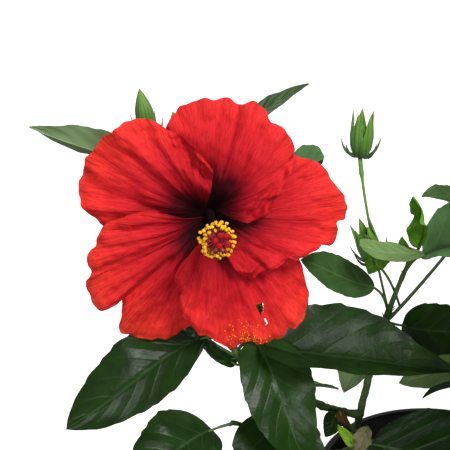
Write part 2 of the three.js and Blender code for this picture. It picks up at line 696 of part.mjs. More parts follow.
// The leaves that the rule gives a twig.
function ruledLeaves(path, count, phase, rule, random) {
  const leaves = []
  for (let i = 0; i < count; i++) {
    const at = (i + 0.6) / count
    const root = path.getPoint(at)
    const axis = path.getTangent(at)
    const draws = [random(), random(), random(), random()]
    const long = mix(rule.long, at) * (0.9 + 0.2 * draws[0])
    for (const turn of tryTurns(phase + i * GOLDEN_ANGLE)) {
      const out = outward(axis, turn)
      const climb = RULE.climb[0] + RULE.climb[1] * draws[1] + RULE.climb[2] * at
      const stalk = out.clone().addScaledVector(axis, climb).normalize()
      const base = root.clone().addScaledVector(stalk, long * mix(RULE.stalk, at))
      const droop = RULE.droop[0] + RULE.droop[1] * at + RULE.droop[2] * (draws[2] - 0.5)
      const along = new THREE.Vector3(out.x, out.y, 0).normalize().setZ(droop).normalize()
      const face = new THREE.Vector3(-along.z * along.x, -along.z * along.y, 1)
      face.addScaledVector(new THREE.Vector3(-along.y, along.x, 0), RULE.twist * (draws[3] - 0.5))
      const leaf = {
        at,
        ruled: true,
        base: base.toArray(),
        tip: base.clone().addScaledVector(along, long).toArray(),
        face: face.toArray(),
        wide: long * (RULE.wide[0] + RULE.wide[1] * draws[3]),
        arch: long * RULE.arch,
      }
      const stalkPoints = [0.5, 0.75].map((share) => root.clone().lerp(base, share))
      if (!stalkPoints.every((p) => isFree(p, ROOM.stalkShare))) continue
      if (!bladeSamples(leaf).every((p) => inSpace(p, rule.keep) && isFree(p, 1))) continue
      takeBlade(leaf)
      leaves.push(leaf)
      break
    }
  }
  return leaves
}

// Every placed shoot, leaf, bud and petal takes its room before the rule fills what is left.
for (const path of Object.values(limbPaths)) takeLine(path, ROOM.twig, 14)
for (const petal of BLOOM.petals)
  for (const s of [0.1, 0.3, 0.5, 0.7, 0.9, 1])
    for (const t of [-1, -0.5, 0, 0.5, 1]) taken.push({ point: petalPoint(petal, s, t), room: ROOM.petal })
const twigs = {}
for (const [name, mass] of Object.entries(MASSES)) {
  const main = growPath(mass)
  const sides = (mass.twigs ?? []).map((twig) => curve(main.getPoint(twig.at), vec(twig.via), vec(twig.to)))
  twigs[name] = [main, ...sides]
  for (const path of twigs[name]) takeLine(path, ROOM.twig, 10)
  for (const leaf of mass.leaves ?? []) takeBlade(leaf)
  for (const bud of mass.buds ?? []) {
    const stalk = curve(twigs[name][bud.twig ?? 0].getPoint(bud.at), vec(bud.via), vec(bud.base))
    takeLine(stalk, ROOM.twig, 6)
    takeLine(new THREE.LineCurve3(vec(bud.base), vec(bud.tip)), ROOM.blade, 3)
  }
}

// The solids of one mass, fused: its twigs, its leaves and its buds.
function massSolid(name) {
  const mass = MASSES[name]
  const paths = twigs[name]
  const pieces = [rod(paths[0], mass.radii, TWIG.sides, TWIG.steps)]
  for (const [i, twig] of (mass.twigs ?? []).entries()) pieces.push(rod(paths[i + 1], twig.radii, 4, 4))
  for (const leaf of mass.leaves ?? []) pieces.push(leafSolid(leaf, paths[leaf.twig ?? 0].getPoint(leaf.at)))
  for (const bud of mass.buds ?? []) pieces.push(budSolid(bud, paths[bud.twig ?? 0].getPoint(bud.at)))
  if (mass.rule) {
    const { rule } = mass
    const random = seededRow(rule.seed)
    const sprigs = ruledTwigs(paths[0], rule, random)
    for (const path of sprigs) takeLine(path, ROOM.twig, 6)
    const grown = [[paths[0], rule.leaves], ...sprigs.map((path) => [path, rule.sprigLeaves])]
    for (const path of sprigs) pieces.push(rod(path, SIDE_TWIG.radii, SIDE_TWIG.sides, SIDE_TWIG.steps))
    for (const [i, [path, count]] of grown.entries())
      for (const leaf of ruledLeaves(path, count, rule.phase + 50 * i, rule, random))
        pieces.push(leafSolid(leaf, path.getPoint(leaf.at)))
  }
  return fuse(pieces)
}

const shrub = new THREE.Group()

// Adds a solid to the shrub as a named mesh of the shade given.
function add(name, shade, made) {
  const { vertProperties, triVerts, numProp, numVert } = made.getMesh()
  const points = new Float32Array(numVert * 3)
  for (let i = 0; i < numVert; i++) points.set(vertProperties.subarray(i * numProp, i * numProp + 3), i * 3)
  const geometry = new THREE.BufferGeometry()
  geometry.setAttribute('position', new THREE.BufferAttribute(points, 3))
  geometry.setIndex(new THREE.BufferAttribute(triVerts, 1))
  geometry.computeVertexNormals()
  const mesh = new THREE.Mesh(geometry, new THREE.MeshStandardMaterial({ metalness: 0, ...SHADES[shade] }))
  mesh.name = name
  shrub.add(mesh)
}

add('pot', 'pot', pot())
add('soil', 'soil', soil())
for (const [name, piece] of Object.entries(LIMBS)) {
  const { sides, steps } = STEM
  const level = piece.foot !== undefined
  const radiusAt = (share) => limbRadius(piece, share)
  add(name, 'stem', solid(limb(limbPaths[name], radiusAt, { sides, steps, level })))
}
for (const name of Object.keys(MASSES)) {
  const made = massSolid(name)
  const root = twigs[name][0].getPoint(CALYX.root)
  add(name, 'leaf', name === 'foliage_bloom' ? made.add(calyx(root)) : made)
}
add('bloom_petals', 'petal', petals())
add('bloom_column', 'stamen', column())

export default shrub
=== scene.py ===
"""A red hibiscus shrub in its black nursery pot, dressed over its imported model.

Shapes are worked out in millimetres in the model's own frame, and turned to metres when they
are put into a mesh. +Z is up, and the wide bloom looks towards -Y.
"""

import sys

import logging
import math
from dataclasses import dataclass, field
from enum import Enum
from functools import partial
from typing import Any, Callable, Iterator, Sequence


import bpy
import numpy as np
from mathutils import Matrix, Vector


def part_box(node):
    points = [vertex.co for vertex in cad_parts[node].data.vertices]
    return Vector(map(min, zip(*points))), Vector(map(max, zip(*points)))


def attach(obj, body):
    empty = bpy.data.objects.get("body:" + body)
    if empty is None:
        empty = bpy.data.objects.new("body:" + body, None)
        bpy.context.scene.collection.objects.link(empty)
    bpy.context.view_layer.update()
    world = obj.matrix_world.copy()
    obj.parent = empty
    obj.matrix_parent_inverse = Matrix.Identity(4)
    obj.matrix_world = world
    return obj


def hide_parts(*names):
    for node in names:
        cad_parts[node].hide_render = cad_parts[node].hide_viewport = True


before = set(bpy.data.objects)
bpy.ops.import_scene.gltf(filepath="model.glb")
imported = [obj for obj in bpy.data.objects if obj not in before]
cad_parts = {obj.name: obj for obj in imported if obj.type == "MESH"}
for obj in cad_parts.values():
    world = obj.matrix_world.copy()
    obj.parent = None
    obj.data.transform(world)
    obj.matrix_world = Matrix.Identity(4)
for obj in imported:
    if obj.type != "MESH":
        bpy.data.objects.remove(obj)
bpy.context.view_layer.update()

log = logging.getLogger("hibiscus")
Array = np.ndarray
Material = bpy.types.Material
Pair = tuple[float, float]
Point = tuple[float, float, float]
NodeAdder = Callable[..., bpy.types.Node]

MM = 0.001
GOLDEN_ANGLE = 137.5
UP = np.array([0.0, 0.0, 1.0])
SEED_FACTOR, SEED_STEP = 7919, 12345
ROW_FACTOR, ROW_STEP, ROW_SIZE = 1664525, 1013904223, 2**32


def unit(vectors: Array) -> Array:
    """Gives vectors their direction alone, each of length 1."""
    return vectors / np.linalg.norm(vectors, axis=-1, keepdims=True)


def measured(vector: Array) -> tuple[Array, float]:
    """Gives a vector's direction and its length."""
    return unit(vector), float(np.linalg.norm(vector))


def mix(pair: Sequence[float], share: Any) -> Any:
    """Goes from the first number of a pair to the second by a share."""
    return pair[0] + (pair[1] - pair[0]) * share


def polar(degrees: Any, radius: Any) -> Array:
    """Gives flat places from their angles and radii, with their two numbers in the last axis."""
    angle = np.radians(degrees)
    return np.stack([radius * np.cos(angle), radius * np.sin(angle)], axis=-1)


def turned(line: Array, sides: int) -> Array:
    """Turns an outline of radii and heights about the upright axis, and gives it as rings."""
    angle = np.arange(sides) / sides * 2 * np.pi
    ray = np.stack([np.cos(angle), np.sin(angle), 0 * angle], axis=-1)
    return line[:, :1, None] * ray + line[:, 1:, None] * UP


def ease(low: float, high: float, values: Any) -> Any:

    """Climbs smoothly from 0 at the low value to 1 at the high one."""
    share = np.clip((values - low) / (high - low), 0.0, 1.0)
    return share * share * (3 - 2 * share)


def seeded_row(seed: int) -> Iterator[float]:
    """Gives the source's row of even numbers from 0 to 1: each state is the last times a factor, plus a step.

    Args:
        seed: The number that the row starts from.

    Returns:
        The row, which never ends.
    """
    state = (seed * SEED_FACTOR + SEED_STEP) % ROW_SIZE
    while True:
        state = (state * ROW_FACTOR + ROW_STEP) % ROW_SIZE
        yield state / ROW_SIZE


def swell(points: Array, wavelength: float, seed: int) -> Array:
    """Gives a smooth unevenness in space: the mean of six sine waves in seeded directions.

    Args:
        points: Places in millimetres, with their three numbers in the last axis.
        wavelength: The length of a wave in millimetres.
        seed: Picks the directions and phases of the waves.

    Returns:
        A number from about -1 to 1 for each place.
    """
    draw = np.random.default_rng(seed)
    ways = unit(draw.normal(size=(6, 3))) * (2 * np.pi / wavelength) * draw.uniform(0.7, 1.5, (6, 1))
    phases = draw.uniform(0, 2 * np.pi, 6)
    return np.sin(points @ ways.T + phases).mean(axis=-1) * 1.6


@dataclass(frozen=True)
class Path:
    """A Bezier curve through space, by its three or four control points in millimetres."""

    controls: Array

    @staticmethod
    def through(*controls: Sequence[float]) -> "Path":
        """Makes the curve that these control points give."""
        return Path(np.array([list(point) for point in controls], float))

    def at(self, share: Any) -> Array:
        """Gives the points at shares of the curve: the control points' binomial mean.

        Args:
            share: A share of the curve from 0 to 1, or several.

        Returns:
            The points, with their three numbers in the last axis.
        """
        share = np.asarray(share, float)[..., None]
        order = len(self.controls) - 1
        return sum(
            math.comb(order, i) * (1 - share) ** (order - i) * share**i * control
            for i, control in enumerate(self.controls)
        )

    def points(self, count: int) -> Array:
        """Gives this many points of the curve, at even shares of it."""
        return self.at(np.linspace(0, 1, count))

    def length(self, count: int) -> float:
        """Gives the curve's length by the straight lines that join this many points of it."""
        return float(np.linalg.norm(np.diff(self.points(count), axis=0), axis=1).sum())

    def heading(self, share: Any) -> Array:

        """Gives the curve's direction at shares of it, from two points close to each side."""
        share = np.asarray(share, float)
        low, high = np.clip(share - 1e-4, 0, 1), np.clip(share + 1e-4, 0, 1)
        return unit(self.at(high) - self.at(low))


def closed_rings(path: Path, radii: Array, sides: int) -> Array:
    """Carries a circle along a path.

    The circle's two directions are square to the path: one is the path's heading crossed with the
    world axis that it runs along least, and the other is crossed with both.

    Args:
        path: The line of the form's middle.
        radii: The radius at each of its rings, in millimetres. Their number sets the steps.
        sides: How many points go round.

    Returns:
        The points as rings, sides and three numbers.
    """
    heading = path.heading(np.linspace(0, 1, len(radii)))
    least = np.eye(3)[np.argmin(np.abs(path.controls[-1] - path.controls[0]))]
    side = unit(np.cross(heading, least))
    other = np.cross(heading, side)
    angle = np.arange(sides) / sides * 2 * np.pi
    ray = side[:, None] * np.cos(angle)[:, None] + other[:, None] * np.sin(angle)[:, None]
    return path.points(len(radii))[:, None] + ray * radii[:, None, None]


def linear(code: str) -> tuple[float, float, float, float]:
    """Turns an sRGB hex colour to linear light, by the standard's power curve with its straight foot."""
    parts = [int(code[i : i + 2], 16) / 255 for i in (1, 3, 5)]
    light = [p / 12.92 if p <= 0.04045 else ((p + 0.055) / 1.055) ** 2.4 for p in parts]
    return (light[0], light[1], light[2], 1.0)


def add_node(
    tree: bpy.types.NodeTree,
    kind: str,
    inputs: dict[int | str, Any] | Sequence[Any] = (),
    stops: Sequence[tuple[float, str]] = (),
    **settings: Any,
) -> bpy.types.Node:
    """Adds a node to a tree, with its settings and links.

    Args:
        tree: The tree that the node is added to.
        kind: Blender's name for the kind of node, without the ShaderNode that it starts with.
        inputs: What goes into the node's inputs, by name or number, or in their order. A socket is
            linked, a node by the first output that its settings leave it, and a value is set.
        stops: A colour ramp's places and sRGB colours.
        **settings: The node's own settings.

    Returns:
        The node.
    """
    node = tree.nodes.new(f"ShaderNode{kind}")
    for name, value in settings.items():
        setattr(node, name, value)
    for i, (place, code) in enumerate(stops):
        ramp = node.color_ramp.elements
        stop = ramp[i] if i < 2 else ramp.new(place)
        stop.position = place
        stop.color = linear(code)
    for name, value in inputs.items() if isinstance(inputs, dict) else enumerate(inputs):
        if isinstance(value, bpy.types.Node):
            value = next(output for output in value.outputs if output.enabled)
        if isinstance(value, bpy.types.NodeSocket):
            tree.links.new(value, node.inputs[name])
        else:
            node.inputs[name].default_value = value
    return node


def empty_tree(owner: Material | bpy.types.World) -> NodeAdder:
    """Empties a material's or world's tree, and gives add_node for that tree."""
    owner.use_nodes = True
    owner.node_tree.nodes.clear()
    return partial(add_node, owner.node_tree)


def new_material(name: str) -> tuple[Material, NodeAdder]:
    """Makes a material with an empty tree, and gives it with add_node for that tree."""
    material = bpy.data.materials.new(name)
    return material, empty_tree(material)


def finish_material(add: NodeAdder, inputs: dict[int | str, Any]) -> None:
    """Closes a material's tree with its shader, whose inputs are given, and its output."""
    add("OutputMaterial", (add("BsdfPrincipled", inputs),))


@dataclass
class Skin:
    """Gathers closed forms in millimetres and makes one mesh of them.

    Each form is a grid of rings, and quads join neighbouring rings. Each end is closed by a fan
    of triangles round the ring's own middle, or, where the form is flat, by a strip of quads
    that zips the first half of the ring to the second.
    """

    points: list[Array] = field(default_factory=list)
    corners: list[Array] = field(default_factory=list)
    sizes: list[Array] = field(default_factory=list)
    places: list[Array] = field(default_factory=list)
    slots: list[Array] = field(default_factory=list)
    tones: list[Array] = field(default_factory=list)
    count: int = 0

    def add(
        self,
        rings: Array,
        places: Array | None = None,
        slot: Array | int = 0,
        tone: Array | float = 0.5,
        zipped: bool = False,
        torn: Array | None = None,
    ) -> None:
        """Adds one closed form.

        Args:
            rings: Its points, as rings, sides and three numbers. The order round a ring is free,
                because the form's signed volume tells which way its faces look.
            places: Its UV places, with one more side than the rings so that a pattern goes round.
            slot: The material slot of the whole form, or of each of its quads.
            tone: A number for the materials, for the whole form or for each point.
            zipped: Whether strips of quads close the ends, and not fans.
            torn: Which quads of a flat form's first sheet are torn out, with those behind them.
        """
        steps, sides = rings.shape[:2]
        index = np.arange(steps * sides).reshape(steps, sides)
        index = np.concatenate([index, index[:, :1]], axis=1)
        if places is None:
            along, round_ = np.meshgrid(np.linspace(0, 1, steps), np.linspace(0, 1, sides + 1), indexing="ij")
            places = np.stack([along, round_], axis=-1)
        slots = np.broadcast_to(slot, (steps - 1, sides))
        tones = np.broadcast_to(tone, (steps, sides)).ravel()
        flat = places.reshape(-1, 2)
        cell = np.arange(steps * (sides + 1)).reshape(steps, sides + 1)
        quads, quad_places = self.squares(index), self.squares(cell)
        points, slots = rings.reshape(-1, 3), [slots.ravel(), slots[0], slots[-1]]
        if torn is not None:
            quads, quad_places, slots[0] = self.tear(quads, quad_places, slots[0], torn)
        fans, fan_places = np.zeros((0, 3), int), np.zeros((0, 3, 2))
        if zipped:
            j = np.arange(sides // 2 - 1)
            strip = np.stack([j, j + 1, sides - 2 - j, sides - 1 - j], axis=-1)
            quads = np.concatenate([quads, index[0][strip][:, ::-1], index[-1][strip]])
            quad_places = np.concatenate([quad_places, cell[0][strip][:, ::-1], cell[-1][strip]])
            slots = [slots[0], slots[1][j], slots[2][j]]
        else:
            ahead = np.arange(sides)[:, None] + np.array([0, 1])
            edges = [(0, ahead[:, ::-1]), (-1, ahead)]
            poles = np.repeat([steps * sides, steps * sides + 1], sides)[:, None]
            fans = np.hstack([poles, np.concatenate([index[end][pair] for end, pair in edges])])
            edge = flat[np.concatenate([cell[end][pair] for end, pair in edges])]
            fan_places = np.concatenate([edge.mean(axis=1, keepdims=True), edge], axis=1)
            points = np.concatenate([points, rings[[0, -1]].mean(axis=1)])
            tones = np.concatenate([tones, [tones[:sides].mean(), tones[-sides:].mean()]])
        quad_places = flat[quad_places]
        centred = points - points.mean(0)
        volume = 0.0
        for a, b, c in (quads[:, :3].T, quads[:, [0, 2, 3]].T, fans.T):
            volume += np.einsum("ij,ij->", centred[a], np.cross(centred[b], centred[c]))
        if volume < 0:
            quads, quad_places = quads[:, ::-1], quad_places[:, ::-1]
            fans, fan_places = fans[:, ::-1], fan_places[:, ::-1]
        self.points.append(points)
        self.corners += [quads.ravel() + self.count, fans.ravel() + self.count]
        self.sizes += [np.full(len(quads), 4), np.full(len(fans), 3)]
        self.places += [quad_places.reshape(-1, 2), fan_places.reshape(-1, 2)]
        self.slots += slots
        self.tones.append(tones)
        self.count += len(points)

    @staticmethod
    def tear(quads: Array, cells: Array, slots: Array, torn: Array) -> tuple[Array, Array, Array]:
        """Takes quads out of both sheets of a flat form and walls the holes' rims.

        Side s of a ring lies behind side (sides - 1 - s). An edge that only one torn quad has is
        on the rim, and its wall joins it to the edge behind.

        Args:
            quads: The corners of each quad.
            cells: The UV places of each quad, by number.
            slots: The slot of each quad.
            torn: Which quads of the first sheet are torn out, by step and side.

        Returns:
            The corners, the UV places and the slots of what is left with the walls.
        """
        sides = torn.shape[1]
        kept = ~(torn | np.roll(torn[:, ::-1], -1, axis=1)).ravel()
        start, end = quads[torn.ravel()], np.roll(quads[torn.ravel()], -1, axis=1)
        far = quads.max() + 1
        rim = ~np.isin(start * far + end, end * far + start)
        walls = []
        for table, width in ((quads, sides), (cells, sides + 1)):
            a = table[torn.ravel()][rim]
            b = np.roll(table[torn.ravel()], -1, axis=1)[rim]
            wall = [a, b, b + sides - 1 - 2 * (b % width), a + sides - 1 - 2 * (a % width)]
            walls.append(np.concatenate([table[kept], np.stack(wall, axis=-1)]))
        return walls[0], walls[1], np.concatenate([slots[kept], np.zeros(rim.sum(), int)])

    @staticmethod
    def squares(grid: Array) -> Array:
        """Lists the four corners of each quad of a grid, in order round it."""
        corners = [grid[:-1, :-1], grid[:-1, 1:], grid[1:, 1:], grid[1:, :-1]]
        return np.stack(corners, axis=-1).reshape(-1, 4)

    def piece(
        self, name: str, materials: Sequence[Material], sharp: float = 50.0
    ) -> bpy.types.Object:

        """Makes the object of all forms gathered, at the origin, and lets it ride on the one body.

        Args:
            name: The piece's name.
            materials: The materials of its slots, in order.
            sharp: Edges that turn by more than this angle, in degrees, stay sharp.

        Returns:
            The object.
        """
        mesh = bpy.data.meshes.new(name)
        points, corners = np.concatenate(self.points) * MM, np.concatenate(self.corners)
        sizes = np.concatenate(self.sizes)
        mesh.vertices.add(len(points))
        mesh.vertices.foreach_set("co", points.astype(np.float32).ravel())
        mesh.loops.add(len(corners))
        mesh.loops.foreach_set("vertex_index", corners.astype(np.int32))
        mesh.polygons.add(len(sizes))
        starts = np.concatenate([[0], np.cumsum(sizes)[:-1]])
        mesh.polygons.foreach_set("loop_start", starts.astype(np.int32))
        mesh.polygons.foreach_set("material_index", np.concatenate(self.slots).astype(np.int32))
        mesh.polygons.foreach_set("use_smooth", np.ones(len(sizes), bool))
        layer = mesh.uv_layers.new(name="UVMap")
        layer.uv.foreach_set("vector", np.concatenate(self.places).astype(np.float32).ravel())
        tone = mesh.attributes.new("tone", "FLOAT", "POINT")
        tone.data.foreach_set("value", np.concatenate(self.tones).astype(np.float32))
        mesh.update(calc_edges=True)
        mesh.validate()
        mesh.set_sharp_from_angle(angle=math.radians(sharp))
        piece = bpy.data.objects.new(name, mesh)
        bpy.context.scene.collection.objects.link(piece)
        for material in materials:
            mesh.materials.append(material)
        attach(piece, "root")
        log.info("%s: %d faces, %d points", name, len(mesh.polygons), len(mesh.vertices))
        return piece


class LeafKind(Enum):
    """The ages and states of leaf that the plant carries."""

    OLD = "old"
    RIDGED = "ridged"
    MATURE = "mature"
    MATTE = "matte"
    PALE = "pale"
    YOUNG = "young"
    LIME = "lime"
    # A pale beige blade that stands as a painted highlight.
    WITHERED = "withered"
    BRACT = "bract"


class Space(Enum):
    """The space that a mass of ruled leaves keeps to."""

    RIGHT = "right of the opening"
    LEE = "lee of the bloom"


@dataclass(frozen=True)
class Leaf:
    """A leaf by its blade's base and tip and the way its upper face looks, in millimetres."""

    at: float
    base: Sequence[float]
    tip: Sequence[float]
    face: Sequence[float]
    wide: float
    arch: float
    fold: float = 0.32
    twig: int = 0
    kind: LeafKind = LeafKind.OLD
    hook: float = 0.0
    ruffle: float = 0.03
    ruled: bool = False
    shape: Pair = (0.55, 0.85)
    end_width: float = 1.3

    def directions(self) -> tuple[Array, Array, Array, float]:
        """Gives the blade's own directions, along, left and up, and its length."""
        along = np.subtract(self.tip, self.base)
        length = float(np.linalg.norm(along))
        along = along / length
        left = unit(np.cross(self.face, along))
        return along, left, np.cross(along, left), length

    def half_width(self, u: Array) -> Array:
        """Gives half the blade's width at u: ovate, two powers that meet at the widest place."""
        a, b = self.shape
        peak = a / (a + b)
        share = np.clip(u, 1e-6, 1 - 1e-6)
        bulge = (share / peak) ** a * ((1 - share) / (1 - peak)) ** b
        return self.wide / 2 * bulge + self.end_width * (1 - share)

    def point(self, u: Array, v: Array) -> Array:
        """Gives points of the plain blade, as the source has it: arched, with halves folded up.

        Args:
            u: Shares of its length from the base.
            v: Places across it, from -1 to 1 on its left.

        Returns:
            The points in millimetres.
        """
        along, left, up, length = self.directions()
        half = self.half_width(u) * v
        rise = self.arch * 4 * u * (1 - u) + np.abs(half) * math.sin(self.fold)
        sideways = (half * math.cos(self.fold))[..., None] * left
        return np.asarray(self.base) + (length * u)[..., None] * along + sideways + rise[..., None] * up

    def samples(self) -> Array:
        """Gives the 35 points that stand for the blade when leaves are kept apart."""
        u, v = np.meshgrid([0.04, 0.2, 0.36, 0.52, 0.68, 0.84, 1], [-0.9, -0.45, 0, 0.45, 0.9], indexing="ij")
        return self.point(u.ravel(), v.ravel())

    def stalk(self, root: Array) -> Path:
        """Gives the line of the leaf's stalk, from its twig into the blade's base."""
        along, _, _, length = self.directions()
        base = np.asarray(self.base, float)
        end = self.point(np.array(min(3 / length, 0.2)), np.array(0.0))
        bend = base - along * 0.25 * np.linalg.norm(root - base)
        return Path.through(root, root + (bend - root) * 0.6, bend, end)


@dataclass(frozen=True)
class Bud:
    """A bud on its stalk, by the stalk's bend and the body's base and tip, in millimetres."""

    at: float
    via: Point
    base: Point
    tip: Point
    radius: float
    twig: int = 0
    is_open: bool = False


@dataclass(frozen=True)
class SideTwig:
    """A side twig with a place of its own."""

    at: float
    via: Point
    to: Point
    radii: Pair


@dataclass(frozen=True)
class Rule:
    """What the rule needs to give a mass its side twigs and leaves."""

    seed: int
    phase: float
    leaves: int
    long: Pair
    sprigs: int = 0
    sprig_long: float = 0.0
    sprig_leaves: int = 0
    keep: Space = Space.RIGHT


@dataclass(frozen=True)
class Limb:
    """A stem that stands on the soil, or a bough that leaves a limb at a share of its length."""

    via: Point
    to: Point
    radii: Pair
    foot: Point | None = None
    on: str = ""
    at: float = 0.0

    def radius(self, share: Any) -> Any:
        """Gives the limb's radius at a share of it. A stem flares over its lowest sixth."""
        flare = 1 + 0.7 * np.maximum(0, 1 - share * 6) if self.foot else 1.0
        return mix(self.radii, share) * flare


@dataclass(frozen=True)
class Mass:
    """A mass of foliage on its main twig, which grows on from a limb's tip or leaves it at `at`."""

    on: str
    to: Point
    radii: Pair
    at: float | None = None
    via: Point | None = None
    twigs: tuple[SideTwig, ...] = ()
    leaves: tuple[Leaf, ...] = ()
    buds: tuple[Bud, ...] = ()
    rule: Rule | None = None


FOOT = 103.3
LIMBS: dict[str, Limb] = {
    "stem_left": Limb((-44, 18, 160), (-35, 14, 204), (2.4, 1.7), foot=(-50, 22, FOOT)),
    "stem_centre": Limb((24, -18, 156), (30, -30, 194), (3.6, 2.4), foot=(31, -12, FOOT)),
    "stem_right": Limb((54, 14, 158), (80, 24, 192), (3.6, 2.4), foot=(46, 12, FOOT)),
    "stem_back": Limb((25, 54, 156), (34, 74, 198), (3.5, 2.4), foot=(26, 44, FOOT)),
    "bough_bloom": Limb((-72, 8, 152), (-112, -24, 201), (2.3, 1.9), on="stem_left", at=0.36),
    "bough_low_left": Limb((-70, 2, 122), (-94, -20, 152), (2.0, 1.7), on="stem_left", at=0.12),
    "bough_behind": Limb((-60, 46, 182), (-98, 60, 208), (2.0, 1.8), on="stem_left", at=0.8),
    "bough_front": Limb((42, -36, 140), (54, -60, 164), (2.2, 1.8), on="stem_centre", at=0.35),
    "bough_right_low": Limb((76, 2, 136), (100, -16, 164), (2.2, 1.8), on="stem_right", at=0.28),
    "bough_back_low": Limb((50, 66, 138), (78, 86, 166), (2.2, 1.8), on="stem_back", at=0.28),
}

OLD, RIDGED, MATURE, MATTE, PALE, YOUNG, LIME, WITHERED, BRACT = LeafKind

